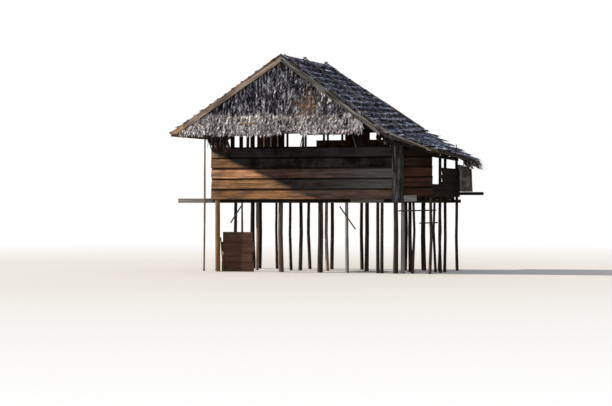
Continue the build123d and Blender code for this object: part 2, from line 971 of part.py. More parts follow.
with BuildPart() as back_studs:
    for stud_x in stud_positions(back_stud_start, back_stud_pitch):
        add(gable_stud(stud_x, back_stud_y))
write(back_studs, "back_studs")

left_plate_low = rafter_underside(left_plate_x, front_post_y) - seat - plate_height
with BuildPart() as left_studs:
    for stud_y in (door_start - stud_depth, door_end, (door_end + back_post_y) / 2):
        add(
            block(
                (left_wall_inner_x + seat, left_wall_inner_x + seat + stud_width),
                (stud_y, stud_y + stud_depth),
                (stud_foot, left_plate_low - seat),
            )
        )
write(left_studs, "left_studs")

# Slender pole that props the left eave
prop_radius = 22
prop_lean = 25
prop_y = front_bearer_y - seat - prop_radius
left_batten_xs = batten_positions(left_eave_x + eave_overhang, ridge_x - ridge_batten_gap - batten_width)
prop_x = left_batten_xs[1] + batten_width / 2
prop_head = roof_z(prop_x - prop_radius, prop_y) - seat - batten_height - seat
with BuildPart() as eave_prop:
    add(
        standing_pole(
            [
                (prop_x - prop_lean, prop_y, 0, prop_radius + 3),
                (prop_x, prop_y, bearer_bottom, prop_radius),
                (prop_x, prop_y, prop_head, prop_radius - 4),
            ]
        )
    )
write(eave_prop, "eave_prop")

# Low screen of planks under the floor, against the front stilts
screen_left = 90
screen_right = 960
screen_plank_count = 4
screen_plank_height = 250
screen_plank_shift = 35
screen_thickness = 24
screen_y = front_row_y - front_stilt_sizes[0][2] - stilt_flare - seat - screen_thickness
with BuildPart() as underfloor_screen:
    for number in range(screen_plank_count):
        plank_z = screen_plank_height * number
        shift = screen_plank_shift * (number % 2)
        add(
            block(
                (screen_left + shift, screen_right - shift),
                (screen_y, screen_y + screen_thickness),
                (plank_z + (0 if number == 0 else seat), plank_z + screen_plank_height),
            )
        )
write(underfloor_screen, "underfloor_screen")

# Pole that lies along the foot of the lean-to's back wall and sticks out at the side
sill_pole_radius = 40
sill_pole_z = 1975
sill_pole_lap = plank_lap * (sill_pole_z - leanto_wall_bottom) / leanto_high_plank_height
sill_pole_y = back_face_y - sill_pole_lap + sill_pole_radius + seat
sill_pole_start = body_width + 260
sill_pole_end = leanto_outer_x + 600
with BuildPart() as sill_pole:
    add(
        round_pole(
            (sill_pole_start, sill_pole_y, sill_pole_z),
            (sill_pole_end, sill_pole_y, sill_pole_z),
            sill_pole_radius,
        )
    )
write(sill_pole, "sill_pole")

# Bark sheet on the back corner of the lean-to
bark_lap = 60
bark_overhang = 335
bark_bulge = 16
bark_thickness = 12
bark_eave_gap = 20
bark_left = leanto_outer_x - bark_lap
bark_right = leanto_outer_x + bark_overhang
bark_bottom = sill_pole_z + sill_pole_radius + seat
bark_top = roof_z(right_eave_x, verge_back) - bark_eave_gap
with BuildPart() as bark_sheet:
    with BuildSketch(Plane.XY.offset(bark_bottom)):
        with BuildLine():
            near = back_face_y + seat
            bend = near + bark_bulge
            ThreePointArc((bark_left, near), ((bark_left + bark_right) / 2, bend), (bark_right, near))
            Line((bark_right, near), (bark_right, near + bark_thickness))
            ThreePointArc(
                (bark_right, near + bark_thickness),
                ((bark_left + bark_right) / 2, bend + bark_thickness),
                (bark_left, near + bark_thickness),
            )
            Line((bark_left, near + bark_thickness), (bark_left, near))
        make_face()
    extrude(amount=bark_top - bark_bottom)
write(bark_sheet, "bark_sheet")

# Rails lashed along the front of the lean-to's posts
rail_radius = 16
rail_y = front_post_y - leanto_post_radius - rail_radius - seat
rail_rise = 15
with BuildPart() as leanto_rails:
    for rail_z, rail_start, rail_end in (
        (1540, body_width + post_foot_radius + 15, leanto_outer_x + 80),
        (1240, body_width + 610, leanto_outer_x + 120),
    ):
        add(
            round_pole(
                (rail_start, rail_y, rail_z),
                (rail_end, rail_y, rail_z + rail_rise),
                rail_radius,
            )
        )
write(leanto_rails, "leanto_rails")

# Thin braces across the front stilts, and a short pole that leans on the left corner post
brace_radius = 17


def stilt_front(foot_lean, radius, z):
    """Where the front of a front stilt lies at a height in its upper half."""
    share = (z - stilt_knee) / (stilt_head - stilt_knee)
    axis_y = front_row_y + foot_lean / 3 * (1 - share)
    return axis_y - (radius - stilt_taper * share)


with BuildPart() as braces:
    for head_x, head_z, foot_x, foot_z, stilt in (
        (3230, 1640, 3640, 1080, front_stilt_sizes[3]),
        (650, 1700, 330, 1230, front_stilt_sizes[0]),
    ):
        cross_z = head_z + (foot_z - head_z) * (stilt[0] - head_x) / (foot_x - head_x)
        brace_y = stilt_front(stilt[1], stilt[2], cross_z) - brace_radius - seat
        add(round_pole((head_x, brace_y, head_z), (foot_x, brace_y, foot_z), brace_radius))
    leaner_head_x = post_foot_radius - 5 + brace_radius + seat
    add(
        standing_pole(
            [
                (leaner_head_x + 85, front_post_y, 0, brace_radius),
                (leaner_head_x, front_post_y, bearer_bottom / 2, brace_radius),
            ]
        )
    )
write(braces, "braces")
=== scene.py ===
"""The finish, light and camera of a thatched house on stilts, in metres."""

import math
import random

import bmesh
import bpy
from mathutils import Matrix, Vector, noise
from mathutils.bvhtree import BVHTree


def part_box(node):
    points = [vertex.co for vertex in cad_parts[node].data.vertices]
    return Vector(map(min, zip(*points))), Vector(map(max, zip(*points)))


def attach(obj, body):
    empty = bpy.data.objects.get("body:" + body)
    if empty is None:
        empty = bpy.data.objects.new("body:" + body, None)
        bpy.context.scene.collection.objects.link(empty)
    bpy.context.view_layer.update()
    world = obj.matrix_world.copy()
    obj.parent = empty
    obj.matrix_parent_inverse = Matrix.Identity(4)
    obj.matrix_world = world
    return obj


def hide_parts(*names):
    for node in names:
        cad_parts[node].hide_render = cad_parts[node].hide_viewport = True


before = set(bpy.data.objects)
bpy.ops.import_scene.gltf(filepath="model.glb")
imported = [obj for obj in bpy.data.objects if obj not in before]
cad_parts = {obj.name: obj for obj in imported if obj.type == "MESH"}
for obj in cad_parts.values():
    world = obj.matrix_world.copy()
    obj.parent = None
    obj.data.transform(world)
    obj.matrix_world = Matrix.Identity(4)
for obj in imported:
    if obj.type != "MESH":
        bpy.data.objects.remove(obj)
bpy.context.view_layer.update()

# Without a seed, noise_vector gives other values in each run
noise.seed_set(7)

# Camera, found from the photograph's perspective
camera_place = (17.765, -44.734, 1.68)
camera_turn = math.radians(19.0)
focal_pixels = 1900.0
image_width = 612.0
image_height = 406.0
horizon_row = 205.0
sensor_width = 36.0

# Light
sky_strength = 0.46

# Heights of the walls' planks
wall_foot = 1.825
plank_height = 0.263
leanto_wall_foot = 1.885
leanto_plank_height = 0.248
half_plank_height = 0.175

# The roof's lines, at the leaves
ridge_x = 1.950
break_x = 4.650
left_eave_x = -0.990
right_eave_x = 5.950
course_depth = 0.209
apex_z = 5.275
apex_gap = 0.03
left_pitch = 1.900 / 2.940
front_right_pitch = 1.995 / 2.700
back_right_pitch = 1.765 / 2.700
skirt_head = 3.930


# Materials


class Nodes:
    """A node tree being built, with short ways to add and join its nodes."""

    def __init__(self, tree):
        self.tree = tree

    def link(self, output, socket):
        self.tree.links.new(output, socket)

    def add(self, kind, inputs=None, **settings):
        node = self.tree.nodes.new(kind)
        for key, value in settings.items():
            setattr(node, key, value)
        for key, value in (inputs or {}).items():
            if isinstance(value, bpy.types.NodeSocket):
                self.link(value, node.inputs[key])
            else:
                node.inputs[key].default_value = value
        return node

    def math(self, operation, first, second=0.5):
        return self.add("ShaderNodeMath", {0: first, 1: second}, operation=operation).outputs[0]

    def seen(self):
        """1 where the camera, a mirror or glass sees a place, and 0 where it only lights the object."""
        paths = self.add("ShaderNodeLightPath").outputs
        direct = self.math("MAXIMUM", paths["Is Camera Ray"], paths["Is Glossy Ray"])
        return self.math("MAXIMUM", direct, paths["Is Transmission Ray"])


class Shader(Nodes):
    """A material being built."""

    def __init__(self, name):
        self.material = bpy.data.materials.new(name)
        self.material.use_nodes = True
        super().__init__(self.material.node_tree)
        self.surface = self.tree.nodes["Principled BSDF"]

    def ramp(self, factor, stops):
        """A ramp through (place, colour) stops, where a plain number stands for a grey."""
        node = self.add("ShaderNodeValToRGB", {"Fac": factor})
        elements = node.color_ramp.elements
        while len(elements) < len(stops):
            elements.new(0.5)
        for element, (place, colour) in zip(elements, stops):
            element.position = place
            element.color = (*(colour if isinstance(colour, tuple) else (colour,) * 3), 1.0)
        return node.outputs["Color"]

    def steps(self, factor, colours):
        """A ramp of equal plain steps, one for each colour."""
        stops = [(number / len(colours), colour) for number, colour in enumerate(colours)]
        output = self.ramp(factor, stops)
        output.node.color_ramp.interpolation = "CONSTANT"
        return output

    def mix(self, factor, first, second, blend="MIX"):
        """A mix of two colours."""
        node = self.add("ShaderNodeMix", data_type="RGBA", blend_type=blend)
        for index, value in ((0, factor), (6, first), (7, second)):
            if isinstance(value, bpy.types.NodeSocket):
                self.link(value, node.inputs[index])
            elif index == 0:
                node.inputs[index].default_value = value
            else:
                node.inputs[index].default_value = (*value, 1.0)
        return node.outputs[2]

    def tinted(self, base, tint):
        """A colour multiplied by a tint."""
        return self.mix(1.0, base, tint, "MULTIPLY")

    def noise(self, vector, scale, detail=4.0, roughness=0.55):
        inputs = {"Vector": vector, "Scale": scale, "Detail": detail, "Roughness": roughness}
        return self.add("ShaderNodeTexNoise", inputs).outputs["Fac"]

    def strayed(self, value, pattern, amount):
        """A value that strays by a noise pattern, so that its edge is ragged."""
        return self.math("ADD", value, self.math("MULTIPLY", self.math("SUBTRACT", pattern, 0.5), amount))

    def place(self, stretch, turn=(0.0, 0.0, 0.0)):
        """Places on the object, stretched, and shifted for each separate board or leaf."""
        coordinates = self.add("ShaderNodeTexCoord").outputs["Object"]
        geometry = self.add("ShaderNodeNewGeometry")
        self.island = geometry.outputs["Random Per Island"]
        inputs = {0: self.island, 1: (37.0, 53.0, 71.0)}
        shift = self.add("ShaderNodeVectorMath", inputs, operation="MULTIPLY")
        inputs = {"Vector": coordinates, "Rotation": turn, "Scale": [1.0 / value for value in stretch]}
        mapping = self.add("ShaderNodeMapping", inputs, vector_type="TEXTURE")
        inputs = {0: mapping.outputs[0], 1: shift.outputs[0]}
        return self.add("ShaderNodeVectorMath", inputs, operation="ADD").outputs[0], coordinates

    def finish(self, base, specular, height, strength, distance):
        """Joins the colour and the relief to the surface, and gives the material."""
        self.link(base, self.surface.inputs["Base Color"])
        self.surface.inputs["Specular IOR Level"].default_value = specular
        node = self.add("ShaderNodeBump", {"Height": height, "Strength": strength, "Distance": distance})
        self.link(node.outputs[0], self.surface.inputs["Normal"])
        return self.material


def stretched(axis, along, across):
    """A scale for grain that runs along one axis."""
    return tuple(along if letter == axis else across for letter in "XYZ")


def wood_patterns(shader, axis, sizes, scales, turn=(0.0, 0.0, 0.0)):
    """Noise for grain, fibres and cracks, from (along, across) sizes, and plain places on the object."""
    places = [shader.place(stretched(axis, *size), turn) for size in sizes]
    fineness = ((7.0, 0.62), (3.0, 0.6), (2.0, 0.4))
    patterns = [shader.noise(place[0], scale, *fine) for place, scale, fine in zip(places, scales, fineness)]
    return (*patterns, places[0][1])


def finished_wood(shader, base, grain, fibre, cracked, rough, strength, distance):
    """The cracks, the roughness and the relief that timbers and boards share."""
    base = shader.mix(cracked, base, (0.012, 0.010, 0.009))
    roughness = shader.ramp(grain, ((0.2, rough[0]), (0.8, rough[1])))
    shader.link(roughness, shader.surface.inputs["Roughness"])
    relief = shader.math("ADD", shader.math("MULTIPLY", grain, 0.6), shader.math("MULTIPLY", fibre, 0.4))
    relief = shader.math("SUBTRACT", relief, cracked)
    return shader.finish(base, 0.03, relief, strength, distance)


def timber(name, colours, grey, axis, turn=(0.0, 0.0, 0.0), weathered=0.45, cracks=0.5, patch_size=2.3,
           spread=0.21, grain_size=22.0):
    """Timber: grain, fibres, drying cracks, grey weathered patches and a tint for each piece."""
    shader = Shader(name)
    sizes = ((1.0, grain_size), (4.0, 120.0), (0.8, 34.0))
    grain, fibre, crack, coordinates = wood_patterns(shader, axis, sizes, (1.3, 1.0, 1.7), turn)
    dark, middle, light = colours
    base = shader.ramp(grain, ((0.5 - spread, dark), (0.5, middle), (0.5 + spread, light)))
    fibre_tint = shader.ramp(fibre, ((0.3, 0.72), (0.7, 1.18)))
    base = shader.tinted(base, fibre_tint)
    patches = shader.noise(coordinates, patch_size, 5.0, 0.6)
    patch_amount = shader.ramp(patches, ((0.40, 0.0), (0.68, weathered)))
    base = shader.mix(patch_amount, base, shader.tinted(grey, fibre_tint))
    tint = shader.ramp(shader.island, ((0.0, (0.72, 0.70, 0.68)), (1.0, (1.22, 1.22, 1.24))))
    base = shader.tinted(base, tint)
    cracked = shader.ramp(crack, ((0.31, cracks), (0.345, 0.0)))
    return finished_wood(shader, base, grain, fibre, cracked, (0.72, 0.93), 0.6, 0.006)


def leafy(name, colours, streak, dry=None, dry_centre=(0.0, 0.0, 0.0), dry_size=0.3,
          clump=(19.0, 19.0, 4.5), coursed=False):
    """Dry palm leaf: a tint for each leaf and clump, streaks along it, and stained patches.

    dry is the colour of a patch round dry_centre. With painted course light, the colour darkens as painted
    shade under the upper edge of each course of a slope, where the course above overhangs it, and lightens as
    a painted highlight at each course's leaf tips.
    """
    shader = Shader(name)
    place, coordinates = shader.place(streak)
    streaks = shader.noise(place, 1.0, 3.0, 0.6)
    clump_place = shader.add("ShaderNodeMapping", {"Vector": coordinates, "Scale": clump}).outputs[0]
    clumps = shader.ramp(shader.noise(clump_place, 1.0, 2.0, 0.5), ((0.38, 0.0), (0.62, 1.0)))
    by_leaf, by_clump = shader.math("MULTIPLY", shader.island, 0.52), shader.math("MULTIPLY", clumps, 0.48)
    choice = shader.math("ADD", by_leaf, by_clump)
    last = len(colours) - 1
    places = [0.5 + (number / last - 0.5) * 0.78 for number in range(len(colours))]
    base = shader.ramp(choice, tuple(zip(places, colours)))
    base = shader.tinted(base, shader.ramp(streaks, ((0.34, (0.36, 0.36, 0.37)), (0.66, (1.50, 1.49, 1.48)))))
    stains = shader.noise(coordinates, 1.7, 5.0, 0.62)
    base = shader.tinted(base, shader.ramp(stains, ((0.34, (0.52, 0.50, 0.52)), (0.66, (1.25, 1.23, 1.21)))))
    # Painted shade under the upper edge of each course, and a painted highlight at its leaf tips where they
    # catch the light
    if coursed:
        split = shader.add("ShaderNodeSeparateXYZ", {0: coordinates})
        away = shader.math("ABSOLUTE", shader.math("SUBTRACT", split.outputs[0], ridge_x))
        course = shader.math("DIVIDE", away, course_depth)
        inside = shader.math("FRACT", shader.strayed(course, shader.noise(coordinates, 1.3, 3.0, 0.6), 1.1))
        lap = shader.ramp(inside, ((0.0, 0.14), (0.13, 0.30), (0.26, 0.95), (0.92, 1.42)))
        base = shader.tinted(base, lap)
    if dry:
        away = shader.add("ShaderNodeVectorMath", {0: coordinates, 1: dry_centre}, operation="SUBTRACT")
        away = shader.add("ShaderNodeVectorMath", {0: away.outputs[0]}, operation="LENGTH").outputs["Value"]
        reach = shader.math("DIVIDE", shader.strayed(away, streaks, 0.5), dry_size)
        chance = shader.math("ADD", reach, shader.math("MULTIPLY", shader.island, 0.9))
        base = shader.mix(shader.ramp(chance, ((0.55, 0.75), (1.0, 0.0))), base, dry)
    shader.surface.inputs["Roughness"].default_value = 0.78
    return shader.finish(base, 0.05, streaks, 0.5, 0.004)


def boards(name, colours, bottom, height, grey, axis="X", grey_from=None, sheltered=None, eave=None):
    """Lapped wall boards: a colour for each board, grain, and painted shade under each lap.

    grey_from gives the X where boards turn grey, over what length, and how much each does. The further
    colours are painted shadow: the boards take them above a line that falls from the place eave, given as X,
    Z and a slope, along the shadow that the eave casts in the key lamp's light.
    """
    shader = Shader(name)
    sizes = ((0.9, 20.0), (3.5, 110.0), (0.7, 30.0))
    grain, fibre, crack, coordinates = wood_patterns(shader, axis, sizes, (1.2, 1.0, 1.5))
    split = shader.add("ShaderNodeSeparateXYZ", {0: coordinates})
    level = shader.math("DIVIDE", shader.math("SUBTRACT", split.outputs[2], bottom), height)
    row = shader.math("DIVIDE", shader.math("ADD", shader.math("FLOOR", level), 0.5), float(len(colours)))
    base = shader.steps(row, colours)
    patches = shader.noise(coordinates, 1.8, 5.0, 0.65)
    # Painted shadow: above a line that falls to the right from the eave's corner, along the shadow the key
    # lamp casts from the eave, the boards take darker colours
    if sheltered:
        fall = shader.math("MULTIPLY", shader.math("SUBTRACT", split.outputs[0], eave[0]), eave[2])
        above = shader.math("ADD", shader.math("SUBTRACT", split.outputs[2], eave[1]), fall)
        in_painted_shadow = shader.ramp(shader.strayed(above, patches, 0.3), ((0.04, 0.0), (0.16, 1.0)))
        base = shader.mix(in_painted_shadow, base, shader.steps(row, sheltered))
    grain_stops = ((0.30, (0.34, 0.31, 0.29)), (0.5, 0.95), (0.72, (1.70, 1.66, 1.62)))
    grain_tint = shader.ramp(grain, grain_stops)
    base = shader.tinted(base, grain_tint)
    blotches = shader.noise(shader.place(stretched(axis, 2.2, 7.0))[0], 1.0, 3.0, 0.6)
    blotch_tint = shader.ramp(blotches, ((0.34, (0.66, 0.64, 0.62)), (0.64, (1.28, 1.27, 1.26))))
    base = shader.tinted(base, blotch_tint)
    fibre_tint = shader.ramp(fibre, ((0.3, 0.75), (0.7, 1.15)))
    base = shader.tinted(base, fibre_tint)
    amount = shader.ramp(patches, ((0.42, 0.0), (0.66, 0.35)))
    if grey_from:
        start, length, shares = grey_from
        share = shader.math("DIVIDE", shader.math("SUBTRACT", split.outputs[0], start), length)
        right = shader.ramp(shader.strayed(share, patches, 0.8), ((0.0, 0.0), (1.0, 0.85)))
        amount = shader.mix(1.0, amount, shader.tinted(right, shader.steps(row, shares)), "LIGHTEN")
    grey_wood = shader.tinted(grey, fibre_tint)
    grey_wood = shader.mix(0.6, grey_wood, shader.tinted(grey_wood, grain_tint))
    base = shader.mix(amount, base, grey_wood)
    # Painted shade: each board darkens near its top, under the lap of the board above, and a little at its
    # foot
    lap_shade_stops = ((0.0, (0.85, 0.83, 0.82)), (0.05, 1.0), (0.80, 1.0), (0.87, (0.20, 0.18, 0.17)))
    base = shader.tinted(base, shader.ramp(shader.math("FRACT", level), lap_shade_stops))
    cracked = shader.ramp(crack, ((0.31, 0.6), (0.34, 0.0)))
    return finished_wood(shader, base, grain, fibre, cracked, (0.70, 0.92), 0.7, 0.007)


brown = ((0.075, 0.040, 0.022), (0.170, 0.092, 0.048), (0.300, 0.175, 0.100))
orange_brown = ((0.085, 0.042, 0.020), (0.190, 0.098, 0.045), (0.300, 0.170, 0.088))
# Near-black wood for the timbers in the shade under the roof and the floor: painted shade
painted_shade_dark = ((0.008, 0.006, 0.005), (0.020, 0.015, 0.011), (0.048, 0.035, 0.026))
# Nearly black, as painted shade for the lean-to's side wall
painted_shade_black = ((0.005, 0.004, 0.004), (0.012, 0.009, 0.007), (0.028, 0.021, 0.016))
stilt_brown = ((0.035, 0.024, 0.017), (0.085, 0.058, 0.040), (0.165, 0.118, 0.085))
# Near-black stilt colours, painted shade for the stilts under the house
stilt_painted_shade = ((0.012, 0.009, 0.008), (0.034, 0.025, 0.020), (0.075, 0.056, 0.044))
screen_brown = ((0.030, 0.017, 0.013), (0.075, 0.040, 0.028), (0.130, 0.072, 0.048))
pale_pole = ((0.130, 0.088, 0.055), (0.260, 0.185, 0.120), (0.400, 0.310, 0.220))
grey_pole = ((0.085, 0.068, 0.054), (0.190, 0.162, 0.136), (0.340, 0.305, 0.268))
rust_pole = ((0.070, 0.040, 0.026), (0.160, 0.098, 0.066), (0.280, 0.190, 0.138))
smoked_pole = ((0.022, 0.016, 0.012), (0.055, 0.040, 0.029), (0.110, 0.083, 0.062))
pink_tan = ((0.150, 0.104, 0.078), (0.280, 0.208, 0.162), (0.420, 0.335, 0.275))
dull_grey = ((0.075, 0.068, 0.062), (0.150, 0.138, 0.126), (0.255, 0.238, 0.220))
char_grey = ((0.008, 0.008, 0.008), (0.030, 0.030, 0.030), (0.210, 0.210, 0.208))
bark_brown = ((0.050, 0.036, 0.028), (0.130, 0.098, 0.078), (0.260, 0.210, 0.175))
light_grey = ((0.130, 0.125, 0.120), (0.250, 0.240, 0.228), (0.400, 0.388, 0.372))
landing_grey = ((0.072, 0.052, 0.040), (0.158, 0.114, 0.088), (0.290, 0.222, 0.180))
barge_tan = ((0.060, 0.040, 0.030), (0.220, 0.160, 0.124), (0.450, 0.350, 0.275))
tip_tan = ((0.190, 0.115, 0.060), (0.400, 0.260, 0.145), (0.600, 0.430, 0.270))
barge_grey = ((0.014, 0.013, 0.012), (0.075, 0.070, 0.066), (0.290, 0.276, 0.260))
weather_grey = (0.170, 0.155, 0.140)
dark_grey = (0.034, 0.030, 0.027)

# The slopes are one kind of leaf, with colours fitted to the light. The right slope's colours, for the slope
# in the key lamp's shade, are two to three times as bright as the left's in their middle and light tones, and
# bluer: painted light with a painted blue sky tint. Their lightest tones are a painted sky reflection on the
# leaves. The left slope's colours, for the slope in the key lamp's light, are darker and greyer to make up
# for it.
roof_colours_brightened_for_shade = (
    (0.008, 0.009, 0.013), (0.050, 0.057, 0.084), (0.154, 0.175, 0.250),
    (0.134, 0.142, 0.180), (0.258, 0.288, 0.392), (0.460, 0.505, 0.640),
    (0.670, 0.715, 0.830),
)
roof_colours_darkened_for_light = (
    (0.009, 0.010, 0.013), (0.032, 0.034, 0.044), (0.074, 0.080, 0.104),
    (0.058, 0.057, 0.064), (0.106, 0.114, 0.144), (0.152, 0.162, 0.202),
    (0.212, 0.223, 0.270),
)
# The darkest tones of the gable and skirt palettes are painted shade, for the gaps between leaves. The
# skirt's palette is much paler than the gable's, and part of that is painted light on the skirt, which flares
# out towards the light.
gable_grey = (
    (0.004, 0.004, 0.005), (0.014, 0.013, 0.017), (0.074, 0.075, 0.097),
    (0.048, 0.044, 0.048), (0.204, 0.208, 0.248), (0.468, 0.474, 0.530),
    (0.720, 0.718, 0.760),
)
skirt_grey = (
    (0.014, 0.012, 0.013), (0.115, 0.104, 0.107), (0.400, 0.382, 0.392),
    (0.330, 0.282, 0.262), (0.640, 0.620, 0.632), (0.800, 0.784, 0.792),
    (0.860, 0.845, 0.850),
)
tuft_grey = (
    (0.020, 0.017, 0.016), (0.080, 0.066, 0.058), (0.190, 0.164, 0.148),
    (0.120, 0.094, 0.078), (0.330, 0.296, 0.276), (0.480, 0.446, 0.424),
)
brown_leaves = (
    (0.018, 0.014, 0.013), (0.060, 0.044, 0.036), (0.150, 0.108, 0.090),
    (0.090, 0.060, 0.048), (0.300, 0.230, 0.200),
)
leaf_mat_colours = ((0.030, 0.026, 0.024), (0.075, 0.064, 0.056), (0.120, 0.102, 0.088))

on_left = (0.0, -math.atan2(1.900, 2.940), 0.0)
on_right = (0.0, math.atan2(1.900, 2.700), 0.0)
side_grey = (0.165, 0.140, 0.120)

# Name, a colour for each row from the foot up, foot, height of a row, grey, axis, and what is particular
board_kinds = (
    ("front_planks",
     ((0.270, 0.138, 0.062), (0.280, 0.152, 0.076), (0.500, 0.268, 0.150), (0.250, 0.136, 0.066),
      (0.390, 0.255, 0.190)),
     wall_foot, plank_height, (0.130, 0.122, 0.120), "X",
     dict(grey_from=(2.5, 1.6, (0.25, 1.0, 1.0, 0.0, 0.4)),
          # The darker colours below are painted shadow, taken above the eave's shadow line
          sheltered=((0.125, 0.076, 0.053), (0.024, 0.020, 0.018), (0.088, 0.052, 0.040),
                     (0.008, 0.007, 0.007), (0.011, 0.009, 0.008)),
          eave=(-1.11, 3.32, 0.43))),
    ("back_planks",
     ((0.190, 0.105, 0.058), (0.160, 0.090, 0.052), (0.210, 0.125, 0.075), (0.150, 0.080, 0.044),
      (0.170, 0.105, 0.066)),
     wall_foot, plank_height, side_grey, "X", {}),
    ("side_planks",
     ((0.210, 0.115, 0.060), (0.180, 0.100, 0.056), (0.220, 0.135, 0.080), (0.140, 0.075, 0.042),
      (0.170, 0.105, 0.068)),
     wall_foot, plank_height, side_grey, "Y", {}),
    # The lean-to's planks are near-black as painted shade, darkest in the top rows under its eave
    ("leanto_planks",
     ((0.046, 0.024, 0.016), (0.054, 0.025, 0.016), (0.064, 0.028, 0.017), (0.028, 0.014, 0.009),
      (0.016, 0.009, 0.006)),
     leanto_wall_foot, leanto_plank_height, (0.060, 0.046, 0.038), "X", {}),
)
# Name, palette, grey of the weathered patches, axis of the grain, and what is particular
timber_kinds = (
    ("red_post", orange_brown, weather_grey, "Z", dict(weathered=0.1)),
    ("grey_post", light_grey, dull_grey[1], "Z", {}),
    ("pink_post", pink_tan, light_grey[1], "Z", {}),
    ("grey_board", dull_grey, light_grey[1], "Z", dict(weathered=0.5)),
    ("dark_board", char_grey, dull_grey[1], "Z", dict(weathered=0.3, spread=0.13, grain_size=11.0)),
    ("grey_timber", light_grey, dull_grey[1], "X", {}),
    ("grey_timber_y", landing_grey, dull_grey[1], "Y", dict(weathered=0.2)),
    ("stilt_wood", stilt_brown, weather_grey, "Z", dict(weathered=0.5)),
    ("stilt_dark", stilt_painted_shade, stilt_brown[1], "Z", dict(weathered=0.6)),
    ("screen_timber", screen_brown, stilt_brown[1], "X", dict(weathered=0.3)),
    ("black_board", painted_shade_black, painted_shade_dark[1], "Y", dict(weathered=0.3)),
    # The rafters' dark_left and dark_right take the near-black colours as painted shade
    ("dark_left", painted_shade_dark, dark_grey, "X", dict(turn=on_left)),
    ("dark_right", painted_shade_dark, dark_grey, "X", dict(turn=on_right)),
    ("pole_x", pale_pole, weather_grey, "X", dict(cracks=0.3)),
    ("smoked_y", smoked_pole, dark_grey, "Y", dict(cracks=0.3)),
    ("pole_z", pale_pole, weather_grey, "Z", dict(cracks=0.3)),
    ("pole_right", grey_pole, weather_grey, "X", dict(turn=on_right, cracks=0.3)),
    ("pole_left", rust_pole, weather_grey, "X", dict(turn=on_left, cracks=0.3)),
    ("tan_board", barge_tan, light_grey[1], "X",
     dict(turn=on_left, weathered=0.2, spread=0.11, grain_size=14.0)),
    ("tan_tip", tip_tan, pink_tan[1], "X", dict(turn=on_left, weathered=0.2)),
    ("grey_barge", barge_grey, light_grey[1], "X",
     dict(turn=on_right, weathered=0.2, spread=0.11, grain_size=14.0)),
    ("bark", bark_brown, light_grey[2], "Z", dict(weathered=0.85, patch_size=5.0)),
    ("grey_bark", light_grey, light_grey[2], "Z", dict(weathered=0.5, patch_size=5.0)),
)
# The slopes' leaves take painted shade under each course and painted highlights at its tips
on_slope = dict(clump=(11.0, 4.0, 11.0), coursed=True)
gable_stain = dict(dry=(0.290, 0.165, 0.100), dry_centre=(2.62, -0.65, 4.08), dry_size=0.58)
# Name, palette, fineness of the streaks, and what is particular
leaf_kinds = (
    ("leaf_mat", leaf_mat_colours, (60.0, 60.0, 60.0), {}),
    # roof_leaf and left_roof_leaf are one leaf: painted light on the shaded right slope, and darker colours
    # on the left slope in the key lamp's light
    ("roof_leaf", roof_colours_brightened_for_shade, (8.0, 60.0, 8.0), on_slope),
    ("left_roof_leaf", roof_colours_darkened_for_light, (8.0, 60.0, 8.0), on_slope),
    ("gable_leaf", gable_grey, (44.0, 44.0, 7.0), gable_stain),
    ("skirt_leaf", skirt_grey, (44.0, 44.0, 7.0), {}),
    ("brown_leaf", brown_leaves, (60.0, 60.0, 8.0), {}),
    ("dark_leaf", leaf_mat_colours, (60.0, 60.0, 8.0), {}),
    ("tuft_leaf", tuft_grey, (8.0, 60.0, 60.0), {}),
)
materials = {}
for make, kinds in ((boards, board_kinds), (timber, timber_kinds), (leafy, leaf_kinds)):
    for name, *given, particular in kinds:
        materials[name] = make(name, *given, **particular)
for axis, end in (("X", ""), ("Y", "_y"), ("Z", "_z")):
    materials["old_timber" + end] = timber("old_timber" + end, brown, weather_grey, axis)
    materials["dark_timber" + end] = timber("dark_timber" + end, painted_shade_dark, dark_grey, axis)


# Building meshes


def piece(name, points, faces, material, nodes=(), smooth=False, others=()):
    """A finished piece from points and faces, which rides on the house.

    others holds further materials, each with a test: the faces whose middle passes it take that material.
    """
    mesh = bpy.data.meshes.new(name)
    mesh.from_pydata(points, [], faces)
    mesh.materials.append(materials[material])
    for number, (other, test) in enumerate(others):
        mesh.materials.append(materials[other])
        for face in mesh.polygons:
            if test(face.center):
                face.material_index = number + 1
    mesh.polygons.foreach_set("use_smooth", [smooth] * len(mesh.polygons))
    mesh.update()
    thing = bpy.data.objects.new(name, mesh)
    bpy.context.scene.collection.objects.link(thing)
    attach(thing, "root")
    if nodes:
        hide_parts(*nodes)
    return thing


def solids(node):
    """The boxes of a node's separate solids, lowest and highest corner, in order along X."""
    mesh = bmesh.new()
    mesh.from_mesh(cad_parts[node].data)
    bmesh.ops.remove_doubles(mesh, verts=mesh.verts, dist=1e-5)
    waiting = set(mesh.verts)
    boxes = []
    while waiting:
        group = [waiting.pop()]
        for vertex in group:
            for edge in vertex.link_edges:
                other = edge.other_vert(vertex)
                if other in waiting:
                    waiting.remove(other)
                    group.append(other)
        low = Vector(min(v.co[i] for v in group) for i in range(3))
        high = Vector(max(v.co[i] for v in group) for i in range(3))
        boxes.append((low, high))
    mesh.free()
    return sorted(boxes, key=lambda box: (round(box[0].x, 4), round(box[0].y, 4), round(box[0].z, 4)))


def wander(point, axis, amount, rough, seed):
    """How far a worn surface strays at a point: a slow warp along the grain and a finer roughness."""
    slow = Vector([value * (0.6 if letter == axis else 2.0) for value, letter in zip(point, "XYZ")])
    fine = Vector([value * (3.0 if letter == axis else 22.0) for value, letter in zip(point, "XYZ")])
    shift = Vector((seed * 3.1, seed * 1.7, seed * 2.3))
    return noise.noise_vector(slow + shift) * amount + noise.noise_vector(fine + shift) * rough


